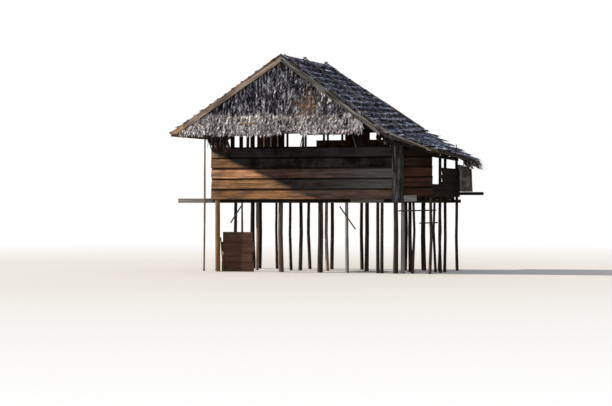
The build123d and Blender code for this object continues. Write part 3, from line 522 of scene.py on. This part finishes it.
def dressed(name, node, material, slot, axis, cut=0.12, bevel=0.004, warp=0.004, rough=0.0015,
            smooth=False, others=()):
    """A node's timbers again, with worn edges, cut into short lengths and warped along the grain."""
    mesh = bmesh.new()
    mesh.from_mesh(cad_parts[node].data)
    bmesh.ops.remove_doubles(mesh, verts=mesh.verts, dist=1e-5)
    bmesh.ops.dissolve_limit(mesh, angle_limit=0.01, verts=mesh.verts, edges=mesh.edges)
    if bevel:
        sharp = [e for e in mesh.edges if len(e.link_faces) == 2 and e.calc_face_angle() > 0.9]
        bmesh.ops.bevel(mesh, geom=sharp, offset=bevel, segments=1, profile=0.5, affect="EDGES")
    index = "XYZ".index(axis)
    low = min(v.co[index] for v in mesh.verts)
    high = max(v.co[index] for v in mesh.verts)
    normal = Vector([1.0 if letter == axis else 0.0 for letter in "XYZ"])
    count = max(1, int((high - low) / cut))
    for number in range(1, count):
        place = normal * (low + (high - low) * number / count)
        geometry = mesh.verts[:] + mesh.edges[:] + mesh.faces[:]
        bmesh.ops.bisect_plane(mesh, geom=geometry, plane_co=place, plane_no=normal, dist=1e-5)
    bmesh.ops.triangulate(mesh, faces=[f for f in mesh.faces if len(f.verts) > 4])
    seed = sum(ord(letter) for letter in name) % 97
    # A timber's tint goes by the order of its faces, and the steps above can leave another order in each
    # run, so it is set here
    ordered = sorted(mesh.verts, key=lambda v: tuple(round(value, 5) for value in v.co))
    for number, vertex in enumerate(ordered):
        vertex.index = number
        vertex.co += wander(vertex.co, axis, warp, rough, seed)
        vertex.co.z = max(vertex.co.z, 0.0)
    points = [v.co.copy() for v in ordered]
    faces = []
    for face in mesh.faces:
        corners = [v.index for v in face.verts]
        first = corners.index(min(corners))
        faces.append(corners[first:] + corners[:first])
    faces.sort()
    mesh.free()
    return piece(name, points, faces, material, (node,), smooth, others)


def skin(rings, points, faces):
    """Joins rings of points into a closed tube with flat ends."""
    start = len(points)
    size = len(rings[0])
    for ring in rings:
        points.extend(ring)
    for number in range(len(rings) - 1):
        for corner in range(size):
            after = (corner + 1) % size
            base = start + number * size
            faces.append([base + corner, base + after, base + size + after, base + size + corner])
    last = start + (len(rings) - 1) * size
    faces.append([start + corner for corner in reversed(range(size))])
    faces.append([last + corner for corner in range(size)])


def plank(points, faces, start, end, up, out, width, thickness, seed):
    """One sawn plank from start to end along its lower edge, with worn and wavy edges."""
    step = 0.14
    edge = 0.006
    sway = 0.004
    rough = 0.0012
    ragged_end = 0.012
    run = end - start
    along = run.normalized()
    axis = "XYZ"[max(range(3), key=lambda i: abs(run[i]))]
    corner = min(thickness * 0.3, 0.004)
    section = [
        (0.0, corner), (corner, 0.0), (width * 0.35, 0.0), (width * 0.68, 0.0), (width - corner, 0.0),
        (width, corner), (width, thickness - corner), (width - corner, thickness),
        (width * 0.5, thickness), (corner, thickness), (0.0, thickness - corner),
    ]
    count = max(2, int(run.length / step))
    shift = Vector((seed * 7.3, seed * 5.1, seed * 3.7))
    rings = []
    for number in range(count + 1):
        share = number / count
        centre = start + run * share
        low_edge = noise.noise(centre * 1.9 + shift) * edge
        high_edge = noise.noise(centre * 2.3 - shift) * edge
        ring = []
        for height, depth in section:
            stretch = low_edge * (1 - height / width) + high_edge * height / width
            point = centre + up * (height + stretch) - out * depth
            stray = wander(point, axis, sway, rough, seed)
            if number in (0, count):
                stray += along * noise.noise(point * 9.0 + shift) * ragged_end
            ring.append(point + stray)
        rings.append(ring)
    skin(rings, points, faces)


def lapped_wall(name, node, outward, height, material, ceiling=None):
    """The planks of a lapped wall, where the node's wall stands, cut where ceiling gives a height."""
    tilt = 0.028
    thickness = 0.020
    uneven = 0.012
    proud = 0.008
    overlap = 0.010
    gap = 0.002
    points, faces = [], []
    out = Vector(outward)
    luck = random.Random(name)
    for low, high in solids(node):
        along_x = abs(out.y) > 0.5
        count = max(1, round((high.z - low.z) / height))
        tall = (high.z - low.z) / count
        for number in range(count):
            z = low.z + tall * number
            lean = (Vector((0, 0, tall)) - out * tilt).normalized()
            if along_x:
                y = (low.y if out.y < 0 else high.y) + out.y * proud
                ends = (Vector((low.x, y, z)), Vector((high.x, y, z)))
            else:
                x = (low.x if out.x < 0 else high.x) + out.x * proud
                ends = (Vector((x, low.y, z)), Vector((x, high.y, z)))
            run = (ends[1] - ends[0]).normalized()
            first = ends[0] + run * luck.uniform(0.0, uneven)
            last = ends[1] - run * luck.uniform(0.0, uneven)
            lap = overlap if number < count - 1 else 0.0
            seed = number + 11 * len(points) % 89 + luck.random()
            plank(points, faces, first, last, lean, out, tall + lap - gap, thickness, seed)
    if ceiling:
        for point in points:
            point.z = min(point.z, ceiling(point.x))
    return piece(name, points, faces, material, (node,))


# Leaves


def leaf(points, faces, root, along, side, up, length, width, droop, skew, twist, fold=0.35, stops=4):
    """One folded leaf: a closed blade with a raised crease, which narrows to a point."""
    start = len(points)
    for number in range(stops):
        share = number / stops
        bent = side * (skew * share * share)
        centre = root + along * (length * share) + bent + up * (droop * share * share)
        wide = width * (1.0 - 0.25 * share) * (0.5 if number == 0 else 0.5 + 0.1 * math.sin(3.1 * share))
        turn = twist * share
        across = side * math.cos(turn) + up * math.sin(turn)
        lift = up * math.cos(turn) - side * math.sin(turn)
        points.append(centre - across * wide)
        points.append(centre + lift * (wide * fold + 0.0015))
        points.append(centre + across * wide)
    points.append(root + along * length + side * skew + up * droop)
    tip = start + stops * 3
    faces.append([start + 2, start + 1, start])
    for number in range(stops - 1):
        base = start + number * 3
        for corner in range(3):
            after = (corner + 1) % 3
            faces.append([base + corner, base + after, base + 3 + after, base + 3 + corner])
    base = start + (stops - 1) * 3
    for corner in range(3):
        faces.append([base + corner, base + (corner + 1) % 3, tip])


def evenly(luck, low, high, spacing, stray, inside):
    """Places between two ends, evenly spaced but for a random stray, and kept inside the ends."""
    count = max(1, int((high - low) / spacing))
    for number in range(count + 1):
        place = low + (high - low) * (number + luck.uniform(-stray, stray)) / count
        yield min(max(place, low + inside), high - inside)


sky_height = 9.0


def surface_of(node):
    """A function that gives the height of a node's top under a place, or None beside it."""
    mesh = bmesh.new()
    mesh.from_mesh(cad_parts[node].data)
    tree = BVHTree.FromBMesh(mesh)
    mesh.free()

    def height(x, y):
        hit = tree.ray_cast(Vector((x, y, sky_height)), Vector((0.0, 0.0, -1.0)))[0]
        return hit.z if hit else None

    return height


def slope_leaves(name, node, high_x, low_x, courses, material, overhang=0.10):
    """Courses of leaves down a slope, on its node's stepped thatch, and strays askew on them."""
    spacing = 0.024
    verge_spacing = 0.035
    layers = 2
    strays_a_square_metre = 55.0
    points, faces = [], []
    luck = random.Random(name)
    low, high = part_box(node)
    height = surface_of(node)
    side = Vector((0.0, 1.0, 0.0))
    step = (low_x - high_x) / courses

    def outward(along):
        return side.cross(along) if step < 0 else along.cross(side)

    for course in range(courses):
        top_x = high_x + step * course
        foot_x = high_x + step * (course + 1)
        for layer in range(layers):
            for y in evenly(luck, low.y, high.y, spacing, 0.4, 0.004):
                root_x = top_x + step * luck.uniform(0.02, 0.20) + step * 0.25 * layer
                near = height(root_x + math.copysign(0.002, step), y)
                far = height(foot_x - math.copysign(0.004, step), y)
                if near is None or far is None:
                    continue
                root = Vector((root_x, y, near + 0.002 + 0.006 * layer))
                run = Vector((foot_x - root_x, 0.0, far - near))
                along = run.normalized()
                up = outward(along)
                reach = run.length + luck.uniform(0.1, 1.0) * overhang
                reach += 0.06 * noise.noise(Vector((foot_x * 3.0, y * 1.6, 4.0)))
                wave = 0.015 * noise.noise(Vector((foot_x * 3.0, y * 2.2, layer)))
                leaf(
                    points, faces, root, along, side, up,
                    reach, luck.uniform(0.020, 0.040),
                    luck.uniform(-0.022, 0.034) + wave, luck.gauss(0.0, 0.036), luck.gauss(0.0, 0.65),
                )
    for verge, way in ((low.y, -1.0), (high.y, 1.0)):
        count = int(abs(low_x - high_x) / verge_spacing)
        for number in range(count):
            x = high_x + (low_x - high_x) * (number + luck.random()) / count
            x = min(max(x, min(high_x, low_x) + 0.02), max(high_x, low_x) - 0.02)
            y = verge - way * luck.uniform(0.02, 0.14)
            near, far = height(x, y), height(x + math.copysign(0.01, step), y)
            if near is None or far is None:
                continue
            down = Vector((math.copysign(1.0, step), 0.0, -0.68)).normalized()
            along = (down + side * way * luck.uniform(0.0, 0.55)).normalized()
            up = outward(down)
            leaf(
                points, faces, Vector((x, y, near + 0.012)), along, along.cross(up).normalized(), up,
                luck.uniform(0.10, 0.20), luck.uniform(0.016, 0.032), luck.uniform(0.0, 0.045),
                luck.gauss(0.0, 0.02), luck.gauss(0.0, 0.5),
            )
    for number in range(int(strays_a_square_metre * abs(low_x - high_x) * (high.y - low.y))):
        x = luck.uniform(high_x + step * 0.5, low_x - step * 0.5)
        y = luck.uniform(low.y + 0.15, high.y - 0.15)
        near, far = height(x, y), height(x + step * 0.5, y)
        if near is None or far is None:
            continue
        down = Vector((step * 0.5, 0.0, far - near)).normalized()
        turn = luck.choice((-1, 1)) * luck.uniform(0.35, 1.45)
        along = down * math.cos(turn) + side * math.sin(turn)
        up = outward(down)
        across = along.cross(up).normalized()
        root = Vector((x, y, near + 0.030))
        leaf(
            points, faces, root, along, across, up, luck.uniform(0.14, 0.34), luck.uniform(0.014, 0.028),
            luck.uniform(-0.010, 0.018), luck.gauss(0.0, 0.05), luck.gauss(0.0, 0.5),
        )
    return piece(name, points, faces, material)


def hanging_leaves(name, left, right, top_z, hem_z, courses, face, lean, material, notch=None):
    """Courses of leaves that hang on an upright or flared face.

    left and right give the face's ends at a height, face its Y at a height, and lean is -1 at the front
    and 1 behind. notch gives two X between which the lowest leaves are shorter, and by how much.
    """
    spacing = 0.024
    layers = 2
    fringe = 0.06
    points, faces = [], []
    luck = random.Random(name)
    side = Vector((-lean, 0.0, 0.0))
    drop = (top_z - hem_z) / courses
    for course in range(courses):
        foot = hem_z + drop * course
        for layer in range(layers):
            low_left, low_right = left(foot + drop), right(foot + drop)
            for x in evenly(luck, low_left, low_right, spacing, 0.45, 0.01):
                root_z = foot + drop * luck.uniform(1.0, 1.8)
                length = (root_z - foot) + luck.uniform(-0.5, 1.0) * fringe
                length += 0.04 * noise.noise(Vector((x * 3.0, foot * 3.0, lean)))
                if notch and course == 0 and notch[0] < x < notch[1]:
                    length -= notch[2]
                root_z = min(root_z, top_z + 0.03)
                if root_z - foot < 0.05 or length < 0.06:
                    continue
                proud = 0.003 + 0.006 * layer
                root = Vector((x, face(root_z) + lean * proud, root_z))
                tip_z = root_z - length
                tip = Vector((x, face(max(tip_z, hem_z)) + lean * (proud + 0.014), tip_z))
                along = (tip - root).normalized()
                up = along.cross(side)
                if up.y * lean < 0:
                    up.negate()
                sweep = 0.12 * noise.noise(Vector((x * 1.6, lean, root_z * 1.6)))
                leaf(
                    points, faces, root, along, side, up, length, luck.uniform(0.022, 0.052),
                    luck.uniform(-0.004, 0.036) + 0.036 * luck.random() ** 4, luck.gauss(0.0, 0.05) + sweep,
                    luck.gauss(0.0, 0.9),
                )
    return piece(name, points, faces, material)


def ridge_leaves(name, material):
    """Leaves bent over the ridge, with their ends on both slopes."""
    points, faces = [], []
    luck = random.Random(name)
    low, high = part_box("ridge_cap")
    height = surface_of("ridge_cap")
    middle = (low.x + high.x) / 2
    side = Vector((0.0, 1.0, 0.0))
    for way in (-1, 1):
        for layer in range(3):
            for y in evenly(luck, low.y, high.y, 0.028, 0.4, 0.01):
                root_x = middle - way * 0.02 + way * luck.uniform(0.0, 0.05) * layer
                foot_x = middle + way * 0.17
                near = height(middle + way * 0.03, y)
                far = height(foot_x, y)
                if near is None or far is None:
                    continue
                slope = (far - near) / (foot_x - middle - way * 0.03)
                root_z = near + slope * (root_x - middle - way * 0.03) + 0.001 + 0.005 * layer
                root = Vector((root_x, y, root_z))
                run = Vector((foot_x - root_x, 0.0, slope * (foot_x - root_x)))
                along = run.normalized()
                up = Vector((-along.z, 0.0, along.x)) * way
                leaf(
                    points, faces, root, along, side, up, run.length + luck.uniform(0.02, 0.16),
                    luck.uniform(0.030, 0.055), luck.uniform(-0.035, 0.012), luck.gauss(0.0, 0.03),
                    luck.gauss(0.0, 0.4),
                )
    others = [("left_roof_leaf", lambda place: place.x < middle)]
    return piece(name, points, faces, material, others=others)


def stick(name, path, radius, material, slot, seed):
    """A thin crooked stick through a few points, with knots."""
    taper = 0.75
    sides = 7
    wobble = 0.006
    step = 0.09
    points, faces = [], []
    places = []
    for first, last in zip(path, path[1:]):
        first, last = Vector(first), Vector(last)
        count = max(2, int((last - first).length / step))
        places += [first.lerp(last, number / count) for number in range(count)]
    places.append(Vector(path[-1]))
    shift = Vector((seed * 3.3, seed * 1.9, seed * 5.7))
    places = [p + noise.noise_vector(p * 2.0 + shift) * wobble for p in places]
    rings = []
    for number, place in enumerate(places):
        ahead = places[min(number + 1, len(places) - 1)] - places[max(number - 1, 0)]
        across = ahead.orthogonal().normalized()
        over = ahead.normalized().cross(across)
        size = radius * (1.0 - (1.0 - taper) * number / (len(places) - 1))
        size *= 1.0 + 0.18 * noise.noise(place * 7.0 + shift)
        ring = []
        for corner in range(sides):
            turn = 2 * math.pi * corner / sides
            grow = size * (1.0 + 0.12 * noise.noise(place * 11.0 + Vector((corner, seed, 0.0))))
            ring.append(place + (across * math.cos(turn) + over * math.sin(turn)) * grow)
        rings.append(ring)
    skin(rings, points, faces)
    return piece(name, points, faces, material, smooth=True)


# Walls


def leanto_eave(x):
    """The height under the lean-to's thatch, where its front planks end."""
    return 3.280 - (x - 4.745) * 0.339


for name, node, outward, height, material, slot, ceiling in (
    ("front_planks", "front_wall", (0, -1, 0), plank_height, "front_planks", "old_timber", None),
    ("back_planks", "back_wall", (0, 1, 0), plank_height, "back_planks", "old_timber", None),
    ("left_planks", "left_wall", (-1, 0, 0), plank_height, "side_planks", "old_timber", None),
    ("leanto_front_planks", "leanto_front_wall", (0, -1, 0), leanto_plank_height, "leanto_planks",
     "red_timber", leanto_eave),
    ("leanto_back_planks", "leanto_back_wall", (0, 1, 0), half_plank_height, "leanto_planks",
     "red_timber", None),
    ("leanto_side_planks", "leanto_side_wall", (1, 0, 0), half_plank_height, "black_board",
     "dark_timber", None),
):
    lapped_wall(name, node, outward, height, material, ceiling)

# Timbers: the form gives how worn a piece is, and round poles have no bevel and a smooth skin

square = dict(bevel=0.004, warp=0.004, rough=0.0012)
rough_plank = dict(bevel=0.003, warp=0.006, rough=0.0015)
hewn = dict(bevel=0.004, warp=0.007, rough=0.0030, cut=0.10)
pole = dict(bevel=0.0, warp=0.008, rough=0.0016, cut=0.09, smooth=True)

# Material, slot, axis of the grain, form, and the nodes
timbers = (
    ("red_post", "red_timber", "Z", hewn, "corner_posts"),
    # The stilts and posts under the house take stilt_dark, near-black as painted shade, save the faces given
    # below
    ("stilt_dark", "stilt_wood", "Z", hewn,
     "front_stilts middle_stilts back_stilts leanto_stilts leanto_posts"),
    ("dark_timber", "dark_timber", "X", square, "floor_bearers"),
    ("dark_timber_y", "dark_timber", "Y", square, "floor_joists"),
    ("old_timber", "old_timber", "X", rough_plank, "floor_deck"),
    ("old_timber_y", "old_timber", "Y", rough_plank, "leanto_deck"),
    ("grey_timber_y", "grey_timber", "Y", rough_plank, "landing_planks"),
    ("old_timber_z", "old_timber", "Z", rough_plank, "back_infill"),
    ("dark_timber_z", "dark_timber", "Z", square, "front_studs back_studs left_studs"),
    ("dark_timber_y", "dark_timber", "Y", square, "side_plates leanto_plate"),
    ("dark_timber", "dark_timber", "X", square, "tie_beams"),
    ("dark_timber_z", "dark_timber", "Z", square, "king_posts"),
    ("dark_left", "dark_timber", "X", square, "left_rafters"),
    ("dark_right", "dark_timber", "X", square, "right_rafters leanto_rafters"),
    ("smoked_y", "pole_wood", "Y", square, "left_battens right_battens leanto_battens"),
    ("pole_x", "pole_wood", "X", square, "gable_rails"),
    ("smoked_y", "pole_wood", "Y", pole, "ridge_pole"),
    ("pole_right", "pole_wood", "X", dict(pole, warp=0.016), "holding_poles"),
    ("pole_z", "pole_wood", "Z", pole, "eave_prop"),
    ("dark_timber", "pole_wood", "X", pole, "sill_pole leanto_rails"),
    ("stilt_wood", "pole_wood", "Z", pole, "braces"),
    ("tan_board", "tan_timber", "X", rough_plank, "left_barge_boards"),
    ("grey_barge", "grey_timber", "X", rough_plank, "right_barge_boards"),
    ("dark_board", "grey_timber", "Z", rough_plank, "corner_board"),
    ("screen_timber", "old_timber", "X", rough_plank, "underfloor_screen"),
)
# Faces whose middle passes the test take the further material
further_materials = {
    # stilt_dark here is painted shade, for the posts and stilts in the shade under the house; stilt_wood is
    # the same wood where the light reaches the front left
    "corner_posts": [("stilt_dark", lambda place: place.x > 0.5 or place.y > 0.5)],
    "floor_bearers": [
        ("grey_timber", lambda place: place.y < 0.2 and (place.x < -0.1 or 3.50 < place.x < 4.40)),
    ],
    "front_stilts": [
        ("stilt_wood", lambda place: place.x < 1.8),
        ("grey_post", lambda place: 3.2 < place.x < 3.6 or place.x > 4.7),
    ],
    "braces": [("red_post", lambda place: place.x < 0.25)],
    "left_barge_boards": [("tan_tip", lambda place: place.x < -0.62)],
    "middle_stilts": [("pink_post", lambda place: 0.5 < place.x < 0.7 or 2.4 < place.x < 2.6)],
}
for material, slot, axis, form, nodes in timbers:
    for node in nodes.split():
        others = further_materials.get(node, ())
        dressed(node + "_worn", node, material, slot, axis, others=others, **form)

# Thatch

for node in ("left_thatch", "right_thatch", "leanto_thatch", "ridge_cap", "gable_thatch", "gable_skirts"):
    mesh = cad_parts[node].data
    mesh.materials.clear()
    mesh.materials.append(materials["leaf_mat"])

for name, node, high_x, low_x, courses, material, overhang in (
    ("left_slope_leaves", "left_thatch", ridge_x, left_eave_x, 14, "left_roof_leaf", 0.10),
    ("right_slope_leaves", "right_thatch", ridge_x, break_x, 13, "roof_leaf", 0.10),
    ("leanto_slope_leaves", "leanto_thatch", break_x, right_eave_x, 6, "roof_leaf", 0.22),
):
    slope_leaves(name, node, high_x, low_x, courses, material, overhang)
ridge_leaves("ridge_leaves", "roof_leaf")


def gable(name, lean, plumb, pitch, hem, skirt_courses, notch):
    """The leaves of one gable, upright at the Y plumb, and of the skirt that flares out below it."""
    flare = 0.120
    gable_head = 5.22
    gable_courses = 10
    skirt_overlap = 0.03
    skirt_end = 4.035

    def left_end(z):
        return ridge_x - (apex_z - apex_gap - z) / left_pitch

    def right_end(z):
        return ridge_x + (apex_z - apex_gap - z) / pitch

    def skirt_right(z):
        return skirt_end + 0.01 * math.sin(z * 30)

    def upright(z):
        return plumb

    def flared(z):
        return plumb + lean * flare * min(1.0, max(0.0, (skirt_head - z) / (skirt_head - hem)))

    hanging_leaves(name + "_gable_leaves", left_end, right_end, gable_head, skirt_head - skirt_overlap,
                   gable_courses, upright, lean, "gable_leaf")
    hanging_leaves(name + "_skirt_leaves", left_end, skirt_right, skirt_head, hem, skirt_courses,
                   flared, lean, "skirt_leaf", notch)


gable("front", -1, -0.6153, front_right_pitch, 3.395, 4, (1.96, 2.47, 0.085))
gable("back", 1, 2.8447, back_right_pitch, 3.620, 3, None)

# Loose leaves


def bunch(name, places, count, spread, fall, reach, material, slot, stray_turn):
    """Leaves that hang from around a few points, with a spread and the way they fall."""
    points, faces = [], []
    luck = random.Random(name)
    fall = Vector(fall).normalized()
    for place in places:
        for number in range(count):
            stray = Vector([luck.uniform(-1, 1) * size for size in spread])
            root = Vector(place) + stray
            along = fall + Vector([luck.gauss(0, 1) for letter in "XYZ"]) * stray_turn
            along.normalize()
            side = along.orthogonal().normalized()
            side = Matrix.Rotation(luck.uniform(0.0, 6.28), 3, along) @ side
            leaf(
                points, faces, root, along, side, side.cross(along), luck.uniform(*reach),
                luck.uniform(0.018, 0.040), luck.uniform(-0.05, 0.05), luck.gauss(0.0, 0.04),
                luck.gauss(0.0, 0.8), stops=5,
            )
    return piece(name, points, faces, material)


straight_down = (0.0, 0.0, -1.0)
# Name, places, leaves at each, spread, fall, lengths, material, slot and how far they turn from the fall
for row in (
    ("corner_bunch", ((-0.06, -0.135, 3.36), (0.08, -0.15, 3.34), (0.20, -0.14, 3.30), (0.28, -0.13, 3.27)),
     16, (0.07, 0.022, 0.10), (0.04, -0.02, -1.0), (0.16, 0.36), "brown_leaf", "gable_leaf", 0.16),
    ("corner_bunch_dark", ((-0.14, -0.09, 3.44), (0.0, -0.09, 3.44), (0.13, -0.09, 3.40)),
     18, (0.08, 0.05, 0.07), straight_down, (0.16, 0.34), "dark_leaf", "gable_leaf", 0.16),
    ("eave_wisps", ((4.40, -0.30, 3.44), (4.52, -0.25, 3.40), (4.64, -0.30, 3.34), (4.74, -0.25, 3.29)),
     26, (0.08, 0.14, 0.04), straight_down, (0.10, 0.22), "dark_leaf", "gable_leaf", 0.22),
    ("pale_wisps", ((4.50, -0.30, 3.29), (4.65, -0.30, 3.23)),
     3, (0.02, 0.02, 0.02), straight_down, (0.10, 0.16), "skirt_leaf", "gable_leaf", 0.15),
    ("eave_tuft", ((5.66, 2.62, 2.95), (5.74, 2.72, 2.91), (5.84, 2.56, 2.88), (5.90, 2.66, 2.84)),
     30, (0.08, 0.10, 0.015), (1.0, 0.0, -0.62), (0.22, 0.48), "tuft_leaf", "roof_thatch", 0.10),
    ("eave_tuft_low", ((5.80, 2.62, 2.84), (5.88, 2.50, 2.80)),
     20, (0.07, 0.12, 0.02), (0.35, 0.0, -1.0), (0.12, 0.24), "tuft_leaf", "roof_thatch", 0.14),
):
    bunch(*row)

# Bark


def bark_piece(name, node, material):
    """A slab of bark where its node stands: grooved, ragged at both ends and curled at its edges."""
    thickness = 0.013
    low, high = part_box(node)
    points, faces = [], []
    across, upward = 34, 30
    for number in range(across + 1):
        share = number / across
        x = low.x + (high.x - low.x) * share
        edge = abs(2.0 * share - 1.0)
        foot = low.z + 0.004 * (1 + noise.noise(Vector((x * 14.0, 1.0, 0.0))))
        head = high.z - 0.12 * share * share - 0.04 * (1 + noise.noise(Vector((x * 17.0, 5.0, 0.0))))
        for level in range(upward + 1):
            rise = level / upward
            z = foot + (head - foot) * rise
            groove = noise.noise(Vector((x * 38.0, z * 3.0, 2.0))) * 0.012
            curl = edge ** 4 * (0.030 + 0.035 * rise) + 0.02 * rise * rise * (1 - share)
            sway = 0.014 * noise.noise(Vector((z * 3.0, 3.0, 0.0)))
            points.append(Vector((x + sway - 0.03 * rise * (share - 0.5), low.y - curl + groove, z)))
    count = len(points)
    points += [point + Vector((0.0, thickness, 0.0)) for point in points]
    row = upward + 1
    for number in range(across):
        for level in range(upward):
            a = number * row + level
            faces.append([a, a + row, a + row + 1, a + 1])
            faces.append([count + a, count + a + 1, count + a + row + 1, count + a + row])
    rim = list(range(row))
    rim += [number * row + upward for number in range(1, across + 1)]
    rim += [across * row + level for level in reversed(range(upward))]
    rim += [number * row for number in reversed(range(1, across))]
    for first, last in zip(rim, rim[1:] + rim[:1]):
        faces.append([first, last, count + last, count + first])
    strip = low.x + 0.3 * (high.x - low.x)
    return piece(name, points, faces, material, (node,), smooth=True,
                 others=[("grey_bark", lambda place: place.x < strip)])


bark_piece("bark_slab", "bark_sheet", "bark")

# Small things seen in the photograph

# Name, path, radius, material, slot and seed
for row in (
    ("band_stick_a", ((2.30, -0.16, 3.12), (2.36, -0.14, 3.42)), 0.012, "pole_z", "pole_wood", 3),
    ("band_stick_b", ((3.72, -0.15, 3.10), (3.60, -0.13, 3.44)), 0.014, "grey_board", "grey_timber", 5),
    ("band_stick_c", ((0.175, -0.13, 3.55), (0.212, -0.125, 3.12)), 0.016, "grey_board", "grey_timber", 11),
    ("band_stick_d", ((2.35, -0.15, 3.50), (2.25, -0.12, 3.12)), 0.015, "pole_z", "pole_wood", 13),
    ("roof_stick", ((5.60, 2.62, 2.90), (5.53, 2.62, 3.23)), 0.016, "dark_timber_z", "dark_timber", 15),
    ("left_verge_pole", ((-0.560, -0.667, 3.742), (0.45, -0.67, 4.400), (1.95, -0.665, 5.400)), 0.030,
     "pole_left", "pole_wood", 17),
    ("left_verge_tip", ((-0.985, -0.665, 3.465), (-0.550, -0.667, 3.748)), 0.030, "tan_tip", "pole_wood", 18),
    ("leanto_verge_pole",
     ((4.40, -0.680, 3.585), (4.90, -0.690, 3.345), (5.31, -0.690, 3.190), (5.80, -0.690, 2.990)), 0.024,
     "pole_right", "pole_wood", 19),
):
    stick(*row)
for number, y in enumerate((-0.585, 1.115, 2.815)):
    end = (1.90, y + 0.03, 5.455) if number else (1.98, y + 0.03, 5.400)
    stick("ridge_end_right_%d" % number, [(2.30, y + 0.03, 5.175), end], 0.026, "pole_right", "pole_wood",
          21 + number)
    if number:
        path = [(1.40, y - 0.03, 5.085), (2.00, y - 0.03, 5.450)]
        stick("ridge_end_left_%d" % number, path, 0.026, "pole_left", "pole_wood", 31 + number)


def short_boards(name, ends, up, width, material):
    """Planks on the front, each between two points."""
    points, faces = [], []
    for number, (start, end) in enumerate(ends):
        plank(points, faces, Vector(start), Vector(end), Vector(up), Vector((0, -1, 0)), width, 0.022,
              number + 3.0)
    return piece(name, points, faces, material)


band_ends = [((0.79, -0.050, 3.13), (0.80, -0.050, 3.60)), ((0.60, -0.050, 3.13), (0.60, -0.050, 3.60))]
foot_ends = [((4.925, -0.100, 1.765), (5.245, -0.100, 1.770))]
short_boards("band_uprights", band_ends, (1, 0, 0), 0.075, "dark_timber_z")
short_boards("leanto_foot_board", foot_ends, (0, 0, 1), 0.150, "grey_timber")
stick("hem_stick", [(1.80, -0.70, 3.47), (2.40, -0.705, 3.46)], 0.010, "pole_x", "pole_wood", 7)
stick("skirt_stick", [(0.88, -0.755, 3.72), (1.12, -0.76, 3.695), (1.36, -0.755, 3.70)], 0.019, "pole_x",
      "pole_wood", 9)

# Floor, light and camera

floor = Shader("floor")
spot = floor.add("ShaderNodeTexCoord").outputs["Object"]
away = floor.add("ShaderNodeVectorMath", {0: spot}, operation="LENGTH").outputs["Value"]
fade = floor.ramp(floor.math("DIVIDE", away, 60.0), ((0.16, 0.0), (0.55, 1.0)))
seen = floor.seen()
white = floor.add("ShaderNodeEmission", {"Color": (1.0, 1.0, 1.0, 1.0), "Strength": 1.0})
floor_colour = floor.mix(seen, (0.26, 0.26, 0.26), (0.56, 0.555, 0.55))
floor.link(floor_colour, floor.surface.inputs["Base Color"])
floor.surface.inputs["Roughness"].default_value = 0.9
inputs = {0: floor.math("MULTIPLY", fade, seen), 1: floor.surface.outputs[0], 2: white.outputs[0]}
blend = floor.add("ShaderNodeMixShader", inputs)
floor.link(blend.outputs[0], floor.tree.nodes["Material Output"].inputs["Surface"])

ring_count = 72
floor_radius = 160.0
floor_x, floor_y, floor_z = 2.3, 1.2, -0.002
floor_points = [(floor_x, floor_y, floor_z)]
for number in range(ring_count):
    turn = 2 * math.pi * number / ring_count
    floor_points.append(
        (floor_x + floor_radius * math.cos(turn), floor_y + floor_radius * math.sin(turn), floor_z)
    )
floor_faces = [[0, n + 1, (n + 1) % ring_count + 1] for n in range(ring_count)]
floor_mesh = bpy.data.meshes.new("studio_floor")
floor_mesh.from_pydata(floor_points, [], floor_faces)
floor_mesh.materials.append(floor.material)
studio_floor = bpy.data.objects.new("studio_floor", floor_mesh)
bpy.context.scene.collection.objects.link(studio_floor)

world = bpy.data.worlds.new("studio")
bpy.context.scene.world = world
world.use_nodes = True
air = Nodes(world.node_tree)
sky = air.tree.nodes["Background"]
sky.inputs["Color"].default_value = (0.93, 0.96, 1.0, 1.0)
sky.inputs["Strength"].default_value = sky_strength
backdrop = air.add("ShaderNodeBackground", {"Color": (1.0, 1.0, 1.0, 1.0), "Strength": 1.0})
choice = air.add("ShaderNodeMixShader", {0: air.seen(), 1: sky.outputs[0], 2: backdrop.outputs[0]})
air.link(choice.outputs[0], air.tree.nodes["World Output"].inputs["Surface"])


def lamp(name, toward, strength, colour, softness):
    """A far lamp that shines along a direction."""
    data = bpy.data.lights.new(name, "SUN")
    data.energy = strength
    data.color = colour
    data.angle = math.radians(softness)
    thing = bpy.data.objects.new(name, data)
    thing.rotation_euler = Vector(toward).to_track_quat("-Z", "Y").to_euler()
    bpy.context.scene.collection.objects.link(thing)


def shine(turn, rise):
    """The way light travels from a lamp that stands at a turn from the front, to the right, and a height."""
    turn, rise = math.radians(turn), math.radians(rise)
    return (-math.sin(turn) * math.cos(rise), math.cos(turn) * math.cos(rise), -math.sin(rise))


lamp("key", shine(-81, 23), 7.2, (1.0, 0.91, 0.78), 1.2)
lamp("front_fill", shine(12, 28), 0.55, (1.0, 0.98, 0.96), 40.0)

camera_data = bpy.data.cameras.new("camera")
camera_data.sensor_width = sensor_width
camera_data.lens = focal_pixels * sensor_width / image_width
camera_data.clip_end = 500.0
camera = bpy.data.objects.new("camera", camera_data)
camera.location = camera_place
tip = math.atan((horizon_row - image_height / 2) / focal_pixels)
camera.rotation_euler = (math.radians(90.0) + tip, 0.0, camera_turn)
bpy.context.scene.collection.objects.link(camera)
bpy.context.scene.camera = camera

bpy.context.scene.view_settings.view_transform = "Standard"
bpy.context.view_layer.update()
